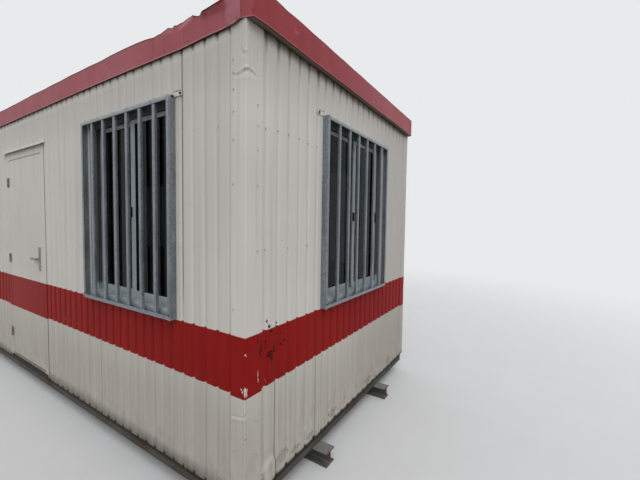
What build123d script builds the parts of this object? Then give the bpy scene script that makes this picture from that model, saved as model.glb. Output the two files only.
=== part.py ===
from build123d import *
import math
import os

# Portable site cabin: a steel-clad room on two skids, with barred windows.
# Millimetres. X runs along the long side, Y across, Z up from the ground.
# The front long side faces -Y, and the photographed end wall faces +X.

# Overall size, over the outer flats of the cladding, and the height from the floor to the ceiling
cabin_length = 6000.0
cabin_width = 2500.0
room_height = 2413.5

# Skids: two rolled H-beams
skid_height = 100.0
skid_width = 100.0
skid_web = 6.0
skid_flange = 10.0
skid_root = 8.0
skid_spacing = 1060.0
skid_overrun = 97.0

# Base frame: channels round the edge, with cross joists
rail_height = 120.0
rail_flange_width = 65.0
rail_web = 6.0
rail_flange = 8.0
rail_setback = 15.0
joist_pitch = 500.0
joist_width = 50.0
joist_sheet = 5.0

# Floor
floor_thickness = 22.0
floor_clearance = 1.0

# Cladding: trapezoidal steel sheet, wide flats outwards and narrow grooves
cladding_overhang = 33.0
cladding_sheet = 1.0
groove_depth = 10.0
groove_pitch = 100.0
groove_floor = 14.0
groove_mouth = 28.0
first_groove_long_side = 100.0
first_groove_end = 50.0

# Wall cores: framed and insulated panels behind the cladding
wall_core = 60.0

# Folded corner flashings
flashing_sheet = 1.0
flashing_leg_long_side = 105.0
flashing_leg_end = 125.0

# Roof trim and roof
fascia_sheet = 1.5
end_fascia_height = 162.0
end_overhang = 43.0
end_fascia_lip = 41.0
end_fascia_flange = 60.0
side_fascia_drop = 12.0
side_fascia_height = 150.0
side_overhang = 13.0
side_fascia_flange = 110.0
lip_clearance = 0.5
corner_cut_along_side = 67.0
corner_cut_along_end = 21.0
crown_rise = 30.0
crown_edge = 4.0
crown_clearance = 1.0

# Roof sheets
roof_sheet = 1.0
roof_rib_pitch = 250.0
roof_rib_height = 35.0
roof_rib_top = 40.0
roof_rib_foot = 80.0
roof_sheet_setback = 90.0
roof_end_clearance = 5.0
ridge_gap = 12.0
ridge_cap_wing = 120.0

# Windows
window_width = 1000.0
window_height = 1235.0
window_sill_height = 880.0
window_from_corner = 1111.0
frame_lining = 8.0
frame_face = 30.0
frame_recess = 25.0
sash_rail = 35.0
sash_stile = 48.0
sash_overlap = 48.0
sash_depth = 16.0
sash_outer_setback = 8.0
sash_track_gap = 3.0
glass_thickness = 4.0

# Window grilles: a welded angle frame with upright bars
grille_side_lap = 46.0
grille_head_lap = 19.0
grille_foot_lap = 52.0
grille_depth = 45.0
grille_face = 25.0
grille_sheet = 4.0
bar_count = 6
bar_pitch = 154.0
bar_width = 25.0
bar_depth = 16.0
lug_length = 50.0
lug_height = 28.0
lug_thickness = 5.0
lug_rise = 12.0

# Door
door_opening_width = 950.0
door_opening_height = 2090.0
door_frame_face = 45.0
door_trim_width = 25.0
door_trim_sheet = 2.0
door_gap = 4.0
door_thickness = 42.0
threshold_height = 24.0
hinge_count = 3
hinge_length = 90.0
hinge_knuckle = 14.0
hinge_plate_width = 32.0
hinge_plate = 3.0
hinge_end_margin = 220.0
handle_height = 1050.0
handle_backset = 65.0
handle_plate_width = 42.0
handle_plate_height = 220.0
handle_plate = 4.0
handle_neck_length = 38.0
handle_neck = 18.0
lever_length = 125.0
lever_thickness = 14.0
lever_height = 20.0

# Levels and lines that follow from the sizes above
base_bottom = skid_height
base_top = base_bottom + rail_height
floor_top = base_top + floor_thickness
skin = groove_depth + cladding_sheet
wall_depth = skin + wall_core
wall_top = floor_top + room_height
cladding_bottom = base_top - cladding_overhang
end_fascia_bottom = wall_top - fascia_sheet
side_fascia_bottom = end_fascia_bottom - side_fascia_drop
side_fascia_top = side_fascia_bottom + side_fascia_height
end_fascia_top = end_fascia_bottom + end_fascia_height
roof_deck_top = side_fascia_top - fascia_sheet
kerb_top = end_fascia_top - fascia_sheet
half_length = cabin_length / 2
half_width = cabin_width / 2
roof_half_length = half_length + end_overhang
roof_half_width = half_width + side_overhang
corner_line = roof_half_length - corner_cut_along_side
window_sill = floor_top + window_sill_height
grille_width = window_width + 2 * grille_side_lap
grille_height = window_height + grille_head_lap + grille_foot_lap
grille_bottom = window_sill - grille_foot_lap
door_opening_top = base_top + door_opening_height

BASE = (Align.CENTER, Align.CENTER, Align.MIN)
FROM_OUTSIDE = (Align.CENTER, Align.MIN, Align.MIN)


def block(length, depth, height, at, align=BASE):
    """A plain box of the given size, placed by its aligned point."""
    return Pos(*at) * Box(length, depth, height, align=align)


def upright(points, height, at_z):
    """A closed outline in plan, carried straight up."""
    section = make_face(Polyline(*points, close=True))
    return Pos(0, 0, at_z) * extrude(section, height, dir=(0, 0, 1))


def groove_centres(wall_width, first_groove):
    """Groove positions along a wall, evenly pitched and centred on it."""
    count = int((wall_width - 2 * first_groove) / groove_pitch + 0.001) + 1
    start = -(count - 1) * groove_pitch / 2
    return [start + i * groove_pitch for i in range(count)]


# Walls are drawn as the front one: X to the right seen from outside, Y inwards from the cladding's
# outer flats, Z up. The other walls are the same drawing, turned round the cabin.
SIDES = {
    "front": Pos(0, -half_width, 0),
    "right_end": Pos(half_length, 0, 0) * Rot(0, 0, 90),
    "back": Pos(0, half_width, 0) * Rot(0, 0, 180),
    "left_end": Pos(-half_length, 0, 0) * Rot(0, 0, -90),
}
LONG_SIDES = ("front", "back")
window_offset = half_length - window_from_corner
WINDOW_CENTRES = {
    "front": (-window_offset, window_offset),
    "right_end": (0.0,),
    "back": (-window_offset, window_offset),
    "left_end": (0.0,),
}


def wall_openings(side):
    """Blocks that cut a wall's window and door openings right through it."""
    through = 2 * wall_depth
    cuts = []
    for centre in WINDOW_CENTRES[side]:
        cuts.append(block(window_width, through, window_height, (centre, 0, window_sill)))
    if side == "front":
        cuts.append(block(door_opening_width, through, door_opening_top, (0, 0, 0)))
    return cuts


def cladding(side):
    """Trapezoidal sheet of one wall: a folded outline carried up the wall, then cut for the openings."""
    long_side = side in LONG_SIDES
    width = cabin_length if long_side else cabin_width
    first = first_groove_long_side if long_side else first_groove_end
    edge = width / 2 - skin
    outline = [(-edge, 0.0)]
    for centre in groove_centres(width, first):
        outline.append((centre - groove_mouth / 2, 0.0))
        outline.append((centre - groove_floor / 2, groove_depth))
        outline.append((centre + groove_floor / 2, groove_depth))
        outline.append((centre + groove_mouth / 2, 0.0))
    outline.append((edge, 0.0))
    inside = [(x, y + cladding_sheet) for x, y in reversed(outline)]
    sheet = upright(outline + inside, wall_top - cladding_bottom, cladding_bottom)
    for cut in wall_openings(side):
        sheet = sheet - cut
    return sheet


def wall_panel(side):
    """Framed, insulated panel behind the cladding. The end panels stand between the long ones."""
    if side in LONG_SIDES:
        width = cabin_length - 2 * skin
    else:
        width = cabin_width - 2 * wall_depth
    panel = block(width, wall_core, wall_top - base_top, (0, skin, base_top), FROM_OUTSIDE)
    for cut in wall_openings(side):
        panel = panel - cut
    return panel


def corner_flashing(sign_x, sign_y):
    """Folded L-shaped strip over a corner, lying on the flats of both walls."""
    x = half_length + flashing_sheet
    y = half_width + flashing_sheet
    inner_x = half_length
    inner_y = half_width
    end_side = half_width - flashing_leg_end
    long_side = half_length - flashing_leg_long_side
    corner = [(x, y), (x, end_side), (inner_x, end_side), (inner_x, inner_y), (long_side, inner_y), (long_side, y)]
    outline = [(sign_x * a, sign_y * b) for a, b in corner]
    return upright(outline, wall_top - cladding_bottom, cladding_bottom)


def skid(sign_y):
    """Rolled H-beam with root fillets, running past the walls at both ends."""
    length = cabin_length + 2 * skid_overrun
    flanges = Rectangle(skid_width, skid_height) - Rectangle(skid_width, skid_height - 2 * skid_flange)
    section = flanges + Rectangle(skid_web, skid_height)
    roots = [v for v in section.vertices() if abs(abs(v.X) - skid_web / 2) < 0.01]
    section = fillet(roots, skid_root)
    beam = extrude(Plane.YZ * section, length / 2, both=True)
    return Pos(0, sign_y * skid_spacing / 2, skid_height / 2) * beam


def base_frame():
    """Ring of channels with their webs outwards, welded at the corners."""
    length = cabin_length - 2 * rail_setback
    width = cabin_width - 2 * rail_setback
    ring = block(length, width, rail_height, (0, 0, base_bottom))
    hollow_height = rail_height - 2 * rail_flange
    hollow = block(length - 2 * rail_web, width - 2 * rail_web, hollow_height, (0, 0, base_bottom + rail_flange))
    middle = block(
        length - 2 * rail_flange_width, width - 2 * rail_flange_width, rail_height, (0, 0, base_bottom)
    )
    return ring - hollow - middle


def floor_joists():
    """Channels across the frame, welded to the flange tips and standing on the skids."""
    span = cabin_width - 2 * rail_setback - 2 * rail_flange_width
    clear_length = cabin_length - 2 * rail_setback - 2 * rail_flange_width
    count = int(clear_length / joist_pitch)
    channel = block(joist_width, span, rail_height, (0, 0, base_bottom))
    hollow_height = rail_height - 2 * joist_sheet
    hollow = block(joist_width, span, hollow_height, (joist_sheet, 0, base_bottom + joist_sheet))
    joist = channel - hollow
    return [Pos((i - (count - 1) / 2) * joist_pitch, 0, 0) * joist for i in range(count)]


def floor_deck():
    """Floor boarding, lying on the joists and the frame inside the walls."""
    length = cabin_length - 2 * wall_depth - 2 * floor_clearance
    width = cabin_width - 2 * wall_depth - 2 * floor_clearance
    return block(length, width, floor_thickness, (0, 0, base_top))


def roof_outline(inset):
    """Plan of the roof's edge with its cut corners, moved inwards by the inset."""
    x = roof_half_length
    y = roof_half_width
    cut_x = corner_line
    cut_y = roof_half_width - corner_cut_along_end
    points = [(x, -cut_y), (x, cut_y), (cut_x, y), (-cut_x, y), (-x, cut_y), (-x, -cut_y), (-cut_x, -y), (cut_x, -y)]
    plan = make_face(Polyline(*points, close=True))
    if inset > 0:
        plan = offset(plan, -inset, kind=Kind.INTERSECTION)
    return plan


def roof_plate(inset, height, at_z):
    """Flat plate with the roof's outline, moved inwards by the inset."""
    return Pos(0, 0, at_z) * extrude(roof_outline(inset), height, dir=(0, 0, 1))


def roof_ring(width, height, at_z):
    """Band of the given width round the roof's edge."""
    return roof_plate(0, height, at_z) - roof_plate(width, height, at_z)


def roof_core():
    """Roof panel with a kerb over each end and a slightly crowned top between them."""
    panel = roof_plate(fascia_sheet, roof_deck_top - wall_top, wall_top)
    kerb_inner = roof_half_length - end_fascia_flange
    kerb_height = kerb_top - roof_deck_top
    kerbs = roof_plate(fascia_sheet, kerb_height, roof_deck_top)
    kerbs = kerbs - block(2 * kerb_inner, 3 * roof_half_width, kerb_height, (0, 0, roof_deck_top))
    half_crown = crown_half_width()
    crown_section = make_face(
        Polyline(
            (-half_crown, 0),
            (half_crown, 0),
            (half_crown, crown_edge),
            (0, crown_edge + crown_rise),
            (-half_crown, crown_edge),
            close=True,
        )
    )
    crown = Pos(0, 0, roof_deck_top) * extrude(Plane.YZ * crown_section, kerb_inner, both=True)
    return panel + kerbs + crown


def crown_half_width():
    """Half the width of the crowned part, inside the side fascias' top flanges."""
    return roof_half_width - side_fascia_flange - crown_clearance


def roof_slope():
    """Fall of the roof to each side, in degrees."""
    return math.degrees(math.atan2(crown_rise, crown_half_width()))


def roof_sheets():
    """Ribbed sheets that lie on the crown, one falling to each side."""
    half_run = roof_half_length - end_fascia_flange - roof_end_clearance
    count = int((2 * half_run - roof_rib_foot) / roof_rib_pitch)
    outline = [(-half_run, 0.0)]
    for i in range(count):
        centre = (i - (count - 1) / 2) * roof_rib_pitch
        outline.append((centre - roof_rib_foot / 2, 0.0))
        outline.append((centre - roof_rib_top / 2, roof_rib_height))
        outline.append((centre + roof_rib_top / 2, roof_rib_height))
        outline.append((centre + roof_rib_foot / 2, 0.0))
    outline.append((half_run, 0.0))
    outside = [(x, z + roof_sheet) for x, z in reversed(outline)]
    section = make_face(Polyline(*outline, *outside, close=True))
    length = roof_half_width - roof_sheet_setback - ridge_gap / 2
    ridge = roof_deck_top + crown_edge + crown_rise
    flat = Pos(0, -ridge_gap / 2, 0) * extrude(Plane.XZ * section, length)
    front = Pos(0, 0, ridge) * Rot(roof_slope(), 0, 0) * flat
    return [front, mirror(front, about=Plane.XZ)]


def ridge_cap():
    """Folded strip over the ridge, lying on the tops of the ribs."""
    half_run = roof_half_length - end_fascia_flange - roof_end_clearance
    angle = math.radians(roof_slope())
    drop = ridge_cap_wing * math.tan(angle)
    seat = (roof_rib_height + roof_sheet) / math.cos(angle)
    top = roof_deck_top + crown_edge + crown_rise + seat
    section = make_face(
        Polyline(
            (-ridge_cap_wing, top - drop),
            (0, top),
            (ridge_cap_wing, top - drop),
            (ridge_cap_wing, top - drop + roof_sheet),
            (0, top + roof_sheet),
            (-ridge_cap_wing, top - drop + roof_sheet),
            close=True,
        )
    )
    return extrude(Plane.YZ * section, half_run, both=True)


def end_fascia(sign_x):
    """Folded trim over one end. It turns round both corners as a cut facet."""
    face = roof_ring(fascia_sheet, end_fascia_height, end_fascia_bottom)
    flange = roof_ring(end_fascia_flange, fascia_sheet, kerb_top)
    lip = roof_ring(end_fascia_lip, fascia_sheet, end_fascia_bottom)
    past_wall = flashing_sheet + lip_clearance
    walls = block(
        cabin_length + 2 * past_wall, cabin_width + 2 * past_wall, fascia_sheet, (0, 0, end_fascia_bottom)
    )
    lip = lip - walls
    reach = roof_half_length - corner_line
    zone = block(
        reach, 3 * roof_half_width, 2 * end_fascia_top, (sign_x * (corner_line + reach / 2), 0, 0)
    )
    return (face + flange + lip) & zone


def side_fascia(sign_y):
    """Folded trim over one long side, between the two end trims' corner facets."""
    length = 2 * corner_line
    y = roof_half_width - fascia_sheet / 2
    face = block(length, fascia_sheet, side_fascia_height, (0, y, side_fascia_bottom))
    flange_y = roof_half_width - side_fascia_flange / 2
    flange = block(length, side_fascia_flange, fascia_sheet, (0, flange_y, roof_deck_top))
    lip_width = side_overhang - flashing_sheet - lip_clearance
    lip_y = roof_half_width - lip_width / 2
    lip = block(length, lip_width, fascia_sheet, (0, lip_y, side_fascia_bottom))
    trim = face + flange + lip
    return trim if sign_y > 0 else mirror(trim, about=Plane.XZ)


def window_frame():
    """Frame of a window: a thin lining through the wall and a deeper face set back in it."""
    lining = block(window_width, wall_depth, window_height, (0, 0, window_sill), FROM_OUTSIDE)
    bore_width = window_width - 2 * frame_lining
    bore_height = window_height - 2 * frame_lining
    lining = lining - block(
        bore_width, wall_depth, bore_height, (0, 0, window_sill + frame_lining), FROM_OUTSIDE
    )
    face_depth = wall_depth - frame_recess
    face = block(bore_width, face_depth, bore_height, (0, frame_recess, window_sill + frame_lining), FROM_OUTSIDE)
    clear_width = window_width - 2 * frame_face
    clear_height = window_height - 2 * frame_face
    face = face - block(
        clear_width, face_depth, clear_height, (0, frame_recess, window_sill + frame_face), FROM_OUTSIDE
    )
    return lining + face


def sash_places():
    """Centre and depth of the two sliding sashes: the right one runs in the outer track."""
    clear_width = window_width - 2 * frame_face
    sash_width = (clear_width + sash_overlap) / 2
    shift = (clear_width - sash_width) / 2
    outer = frame_recess + sash_outer_setback
    inner = outer + sash_depth + sash_track_gap
    return sash_width, ((shift, outer), (-shift, inner))


def window_sashes():
    """Two sliding sashes, each a flat rectangular frame, one in front of the other."""
    width, places = sash_places()
    height = window_height - 2 * frame_face
    bottom = window_sill + frame_face
    sashes = []
    for centre, depth in places:
        ring = block(width, sash_depth, height, (centre, depth, bottom), FROM_OUTSIDE)
        hole_width = width - 2 * sash_stile
        hole_height = height - 2 * sash_rail
        hole = block(hole_width, sash_depth, hole_height, (centre, depth, bottom + sash_rail), FROM_OUTSIDE)
        sashes.append(ring - hole)
    return sashes


def window_panes():
    """A pane in the middle of each sash."""
    width, places = sash_places()
    pane_width = width - 2 * sash_stile
    pane_height = window_height - 2 * frame_face - 2 * sash_rail
    bottom = window_sill + frame_face + sash_rail
    panes = []
    for centre, depth in places:
        at = (centre, depth + (sash_depth - glass_thickness) / 2, bottom)
        panes.append(block(pane_width, glass_thickness, pane_height, at, FROM_OUTSIDE))
    return panes


def window_grille():
    """Welded grille: an angle frame on the cladding, upright bars behind its front leg, two top lugs."""
    front = -grille_depth
    frame = block(grille_width, grille_depth, grille_height, (0, front, grille_bottom), FROM_OUTSIDE)
    pocket_width = grille_width - 2 * grille_sheet
    pocket_height = grille_height - 2 * grille_sheet
    pocket_at = (0, front + grille_sheet, grille_bottom + grille_sheet)
    frame = frame - block(pocket_width, grille_depth, pocket_height, pocket_at, FROM_OUTSIDE)
    light_width = grille_width - 2 * grille_face
    light_height = grille_height - 2 * grille_face
    light_at = (0, front, grille_bottom + grille_face)
    frame = frame - block(light_width, grille_depth, light_height, light_at, FROM_OUTSIDE)
    for i in range(bar_count):
        x = (i - (bar_count - 1) / 2) * bar_pitch
        frame = frame + block(bar_width, bar_depth, pocket_height, (x, pocket_at[1], pocket_at[2]), FROM_OUTSIDE)
    lug_bottom = grille_bottom + grille_height + lug_rise - lug_height
    for sign in (-1, 1):
        x = sign * (grille_width / 2 + lug_length / 2)
        frame = frame + block(lug_length, lug_thickness, lug_height, (x, -lug_thickness, lug_bottom), FROM_OUTSIDE)
    return frame


def door_frame():
    """Three-sided steel frame through the wall, with a trim flange on the cladding's flats."""
    height = door_opening_height
    frame = block(door_opening_width, wall_depth, height, (0, 0, base_top), FROM_OUTSIDE)
    clear_width = door_opening_width - 2 * door_frame_face
    frame = frame - block(clear_width, wall_depth, height - door_frame_face, (0, 0, base_top), FROM_OUTSIDE)
    trim_width = door_opening_width + 2 * door_trim_width
    trim_at = (0, -door_trim_sheet, base_top)
    trim = block(trim_width, door_trim_sheet, height + door_trim_width, trim_at, FROM_OUTSIDE)
    trim = trim - block(clear_width, door_trim_sheet, height - door_frame_face, trim_at, FROM_OUTSIDE)
    return frame + trim


def door_threshold():
    """Sill plate between the jambs, on the base frame."""
    width = door_opening_width - 2 * door_frame_face
    return block(width, wall_depth, threshold_height, (0, 0, base_top), FROM_OUTSIDE)


def door_leaf_box():
    """Width, height and bottom of the door's leaf."""
    width = door_opening_width - 2 * door_frame_face - 2 * door_gap
    bottom = base_top + threshold_height + door_gap
    height = door_opening_top - door_frame_face - door_gap - bottom
    return width, height, bottom


def door_leaf():
    """Flush steel door, closed in its frame and level with the trim's face."""
    width, height, bottom = door_leaf_box()
    at = (0, -door_trim_sheet, bottom)
    return block(width, door_thickness, height, at, FROM_OUTSIDE)


def door_hinges():
    """Knuckled hinges whose plates lie on the leaf and on the frame."""
    width, height, bottom = door_leaf_box()
    axis_x = -(width + door_gap) / 2
    seat_y = -door_trim_sheet
    hinges = []
    for i in range(hinge_count):
        z = bottom + hinge_end_margin + i * (height - 2 * hinge_end_margin) / (hinge_count - 1)
        foot = z - hinge_length / 2
        plates_at = (axis_x, seat_y - hinge_plate, foot)
        plates = block(2 * hinge_plate_width, hinge_plate, hinge_length, plates_at, FROM_OUTSIDE)
        knuckle = Cylinder(hinge_knuckle / 2, hinge_length, align=BASE)
        hinges.append(plates + Pos(axis_x, seat_y - hinge_knuckle / 2, foot) * knuckle)
    return hinges


def door_handle():
    """Lever handles on long plates, one each side of the leaf."""
    width, height, bottom = door_leaf_box()
    x = width / 2 - handle_backset
    z = floor_top + handle_height
    handles = []
    for face_y, outwards in ((-door_trim_sheet, -1), (door_thickness - door_trim_sheet, 1)):
        plate_y = face_y + outwards * handle_plate / 2
        plate = Pos(x, plate_y, z) * Box(handle_plate_width, handle_plate, handle_plate_height)
        neck_y = face_y + outwards * handle_neck_length / 2
        neck = Pos(x, neck_y, z) * Rot(90, 0, 0) * Cylinder(handle_neck / 2, handle_neck_length)
        lever_x = x - lever_length / 2 + handle_neck / 2
        lever_y = face_y + outwards * (handle_neck_length - lever_thickness / 2)
        lever = Pos(lever_x, lever_y, z) * Box(lever_length, lever_thickness, lever_height)
        lever = fillet(lever.edges().filter_by(Axis.Y), lever_height / 3)
        handles.append(plate + neck + lever)
    return handles


def cabin():
    """Every piece of the cabin by name, in place."""
    pieces = {}
    pieces["skid_front"] = skid(-1)
    pieces["skid_back"] = skid(1)
    pieces["base_frame"] = base_frame()
    pieces["floor_joists"] = floor_joists()
    pieces["floor_deck"] = floor_deck()
    for side, place in SIDES.items():
        pieces["wall_panel_" + side] = place * wall_panel(side)
        pieces["cladding_" + side] = place * cladding(side)
    pieces["corner_flashing_front_right"] = corner_flashing(1, -1)
    pieces["corner_flashing_front_left"] = corner_flashing(-1, -1)
    pieces["corner_flashing_back_right"] = corner_flashing(1, 1)
    pieces["corner_flashing_back_left"] = corner_flashing(-1, 1)
    for side, centres in WINDOW_CENTRES.items():
        places = [SIDES[side] * Pos(centre, 0, 0) for centre in centres]
        ending = "s_" + side if len(centres) > 1 else "_" + side
        pieces["window_frame" + ending] = [place * window_frame() for place in places]
        pieces["window_sash_pair" + ending] = [place * sash for place in places for sash in window_sashes()]
        pieces["window_pane_pair" + ending] = [place * pane for place in places for pane in window_panes()]
        pieces["window_grille" + ending] = [place * window_grille() for place in places]
    front = SIDES["front"]
    pieces["door_frame"] = front * door_frame()
    pieces["door_threshold"] = front * door_threshold()
    pieces["door_leaf"] = front * door_leaf()
    pieces["door_hinges"] = [front * hinge for hinge in door_hinges()]
    pieces["door_handle"] = [front * handle for handle in door_handle()]
    pieces["roof_core"] = roof_core()
    pieces["roof_sheets"] = roof_sheets()
    pieces["ridge_cap"] = ridge_cap()
    pieces["fascia_right_end"] = end_fascia(1)
    pieces["fascia_left_end"] = end_fascia(-1)
    pieces["fascia_front"] = side_fascia(-1)
    pieces["fascia_back"] = side_fascia(1)
    return pieces


os.makedirs("parts", exist_ok=True)
for name, shape in cabin().items():
    if isinstance(shape, list):
        shape = Compound(children=shape)
    export_step(shape, "parts/" + name + ".step")
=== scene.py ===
import math

import bmesh
import bpy
import numpy as np
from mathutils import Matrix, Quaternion, Vector


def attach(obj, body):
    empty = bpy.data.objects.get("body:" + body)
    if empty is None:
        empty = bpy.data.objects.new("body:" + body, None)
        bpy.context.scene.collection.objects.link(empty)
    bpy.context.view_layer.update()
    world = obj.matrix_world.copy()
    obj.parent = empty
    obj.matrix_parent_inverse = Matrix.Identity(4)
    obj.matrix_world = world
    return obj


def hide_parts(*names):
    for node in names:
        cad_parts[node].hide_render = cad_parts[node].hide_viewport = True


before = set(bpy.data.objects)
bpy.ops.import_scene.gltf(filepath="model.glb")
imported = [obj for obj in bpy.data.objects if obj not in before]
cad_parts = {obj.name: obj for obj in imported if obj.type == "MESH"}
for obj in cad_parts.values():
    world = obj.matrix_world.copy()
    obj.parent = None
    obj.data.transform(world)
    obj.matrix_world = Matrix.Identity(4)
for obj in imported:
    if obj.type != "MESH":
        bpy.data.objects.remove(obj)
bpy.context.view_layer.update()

# Viewpoint: a wide lens at eye height, 1.5 m off the near corner, that looks along the end wall
# and slightly down.
lens = bpy.data.cameras.new("viewpoint")
lens.lens = 18.57
lens.sensor_width = 36.0
lens.clip_end = 200.0
looking = Vector((-0.53465, 0.84362, -0.04954))
camera = bpy.data.objects.new("viewpoint", lens)
camera.location = (4.19677, -2.44164, 1.66032)
camera.rotation_mode = "QUATERNION"
camera.rotation_quaternion = looking.to_track_quat("-Z", "Y") @ Quaternion((0, 0, 1), math.radians(0.8485))
bpy.context.scene.collection.objects.link(camera)
bpy.context.scene.camera = camera
bpy.context.scene.view_settings.view_transform = "Standard"


# Skids: two hot-rolled H-beams that the cabin is dragged and lifted by. They are brushed with grey
# paint, which has worn through to rust on the sawn ends and in patches along the flanges.
def srgb(red, green, blue):
    """A colour given as it looks on paper, 0-255, in the linear values that a shader takes."""
    share = np.array([red, green, blue]) / 255.0
    linear = np.where(share <= 0.04045, share / 12.92, ((share + 0.055) / 1.055) ** 2.4)
    return (float(linear[0]), float(linear[1]), float(linear[2]), 1.0)


def add_node(tree, kind, sockets, output=0, **settings):
    """Adds a shader node, sets or links its sockets, and returns one of its outputs."""
    node = tree.nodes.new("ShaderNode" + kind)
    for setting, value in settings.items():
        setattr(node, setting, value)
    for socket, value in sockets.items():
        if isinstance(value, bpy.types.NodeSocket):
            tree.links.new(value, node.inputs[socket])
        else:
            node.inputs[socket].default_value = value
    return node.outputs[output]


class Finish:
    """A finish in the making: a base colour and coats over it, spread by Object coordinates."""

    def __init__(self, name, base, metallic=0.0, gloss=0.5):
        self.material = bpy.data.materials.new(name)
        self.material.use_nodes = True
        self.tree = self.material.node_tree
        self.shader = self.tree.nodes["Principled BSDF"]
        self.shader.inputs["Metallic"].default_value = metallic
        self.shader.inputs["Specular IOR Level"].default_value = gloss
        self.colour = srgb(*base)
        self.spot = self.tree.nodes.new("ShaderNodeTexCoord").outputs["Object"]
        self.x, self.y, self.z = (self.node("SeparateXYZ", {0: self.spot}, axis) for axis in "XYZ")

    def node(self, kind, sockets, output=0, **settings):
        return add_node(self.tree, kind, sockets, output, **settings)

    def joined(self, operation, values):
        """The values joined two at a time, from the left."""
        result = values[0]
        for value in values[1:]:
            result = self.node("Math", {0: result, 1: value}, operation=operation)
        return result

    def sum(self, *values):
        return self.joined("ADD", values)

    def times(self, *values):
        return self.joined("MULTIPLY", values)

    def most(self, *values):
        return self.joined("MAXIMUM", values)

    def size_of(self, value):
        return self.node("Math", {0: value}, operation="ABSOLUTE")

    def attribute(self, name):
        return self.node("Attribute", {}, "Fac", attribute_name=name)

    def cloud(self, scale, stretch=(1, 1, 1), detail=3.0):
        """Noise with about `scale` patches to the metre, times `stretch` along each axis."""
        place = self.node("Mapping", {"Vector": self.spot, "Scale": stretch})
        return self.node("TexNoise", {"Vector": place, "Scale": scale, "Detail": detail})

    def spangle(self, scale):
        """A random shade for each zinc crystal, `scale` of them to the metre."""
        crystals = self.node("TexVoronoi", {"Vector": self.spot, "Scale": scale}, "Color")
        return self.node("SeparateXYZ", {0: crystals}, "X")

    def ramp(self, value, none, full):
        """0 at `none`, 1 at `full`, and a smooth S between them."""
        sockets = {"Value": value, "From Min": none, "From Max": full}
        return self.node("MapRange", sockets, interpolation_type="SMOOTHSTEP")

    def layer(self, amount, under, over):
        """A coat of `over` on `under`, as thick as `amount`."""
        return self.node("Mix", {0: amount, 6: under, 7: over}, 2, data_type="RGBA")

    def paint(self, over, *amounts):
        """Lays a colour on all the coats so far, as thick as the product of the amounts."""
        if isinstance(over, tuple):
            over = srgb(*over)
        self.colour = self.layer(self.times(*amounts), self.colour, over)

    def torn(self, scale, reach):
        """The coordinates shifted by noise, which gives a mark a ragged edge."""
        colour = self.node("TexNoise", {"Vector": self.spot, "Scale": scale, "Detail": 3.0}, "Color")
        centred = self.node("VectorMath", {0: colour, 1: (0.5, 0.5, 0.5)}, operation="SUBTRACT")
        shift = self.node("VectorMath", {0: centred, "Scale": reach}, operation="SCALE")
        return self.node("VectorMath", {0: self.spot, 1: shift}, operation="ADD")

    def mark(self, spot, centre, size):
        """1 inside the ellipsoid |(P - centre) / size| < 1, and 0 outside it."""
        away = self.node("VectorMath", {0: spot, 1: centre}, operation="SUBTRACT")
        share = self.node("VectorMath", {0: away, 1: size}, operation="DIVIDE")
        reach = self.node("VectorMath", {0: share}, "Value", operation="LENGTH")
        return self.ramp(reach, 1.1, 0.8)

    def done(self, roughness, height=None, distance=0.001, strength=1.0):
        """Joins the coats, the roughness and the relief to the shader; gives back the material."""
        self.tree.links.new(self.colour, self.shader.inputs["Base Color"])
        if isinstance(roughness, float):
            self.shader.inputs["Roughness"].default_value = roughness
        else:
            self.tree.links.new(roughness, self.shader.inputs["Roughness"])
        if height is not None:
            relief = self.node("Bump", {"Height": height, "Distance": distance, "Strength": strength})
            self.tree.links.new(relief, self.shader.inputs["Normal"])
        return self.material


SKID_END = 3.097


def skid_finish():
    coat = Finish("worn skid paint", (126, 127, 120))
    patches = coat.cloud(7.0, (0.5, 1, 1), 6.0)
    grain = coat.cloud(60.0, detail=4.0)
    coat.paint((104, 106, 100), coat.ramp(grain, 0.35, 0.7))
    # Below the top flange, on the web and the lower flange, the grey is darker and greener: painted shade.
    painted_shade_below_flange = coat.times(coat.ramp(coat.z, 0.0895, 0.0885), 0.8)
    coat.paint((62, 66, 58), painted_shade_below_flange)
    sawn_end = coat.ramp(coat.size_of(coat.x), SKID_END - 0.003, SKID_END - 0.001)
    rust = coat.most(coat.times(coat.ramp(patches, 0.60, 0.68), 0.7), coat.times(sawn_end, 0.9))
    coat.paint(coat.layer(grain, srgb(92, 52, 36), srgb(128, 82, 62)), rust)
    mud = coat.times(coat.ramp(coat.z, 0.05, 0.0), coat.ramp(patches, 0.35, 0.6), 0.7)
    coat.paint((112, 104, 92), mud)
    return coat.done(coat.sum(0.62, coat.times(rust, 0.25)), coat.sum(grain, rust), 0.0008)


def put_in_place(name, mesh, finish, stands_for=()):
    """Makes a mesh a finished piece that rides on the cabin's one body."""
    mesh.materials.append(finish)
    piece = bpy.data.objects.new(name, mesh)
    bpy.context.scene.collection.objects.link(piece)
    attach(piece, "root")
    if stands_for:
        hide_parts(*stands_for)
    return piece


def eased_copy(name, node, finish, radius, angle=35.0):
    """A CAD node's shape with its triangles merged into flat faces and its edges rounded."""
    shape = bmesh.new()
    shape.from_mesh(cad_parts[node].data)
    bmesh.ops.remove_doubles(shape, verts=shape.verts, dist=1e-5)
    bmesh.ops.dissolve_limit(shape, angle_limit=math.radians(1.0), verts=shape.verts, edges=shape.edges)
    mesh = bpy.data.meshes.new(name)
    shape.to_mesh(mesh)
    shape.free()
    mesh.materials.clear()
    piece = put_in_place(name, mesh, finish, [node])
    rounding = piece.modifiers.new("rounding", "BEVEL")
    rounding.width = radius
    rounding.segments = 2
    rounding.limit_method = "ANGLE"
    rounding.angle_limit = math.radians(angle)
    return piece


skid_paint = skid_finish()
for place in ("front", "back"):
    eased_copy("skid_beam_" + place, "skid_" + place, skid_paint, 0.0015)
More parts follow.
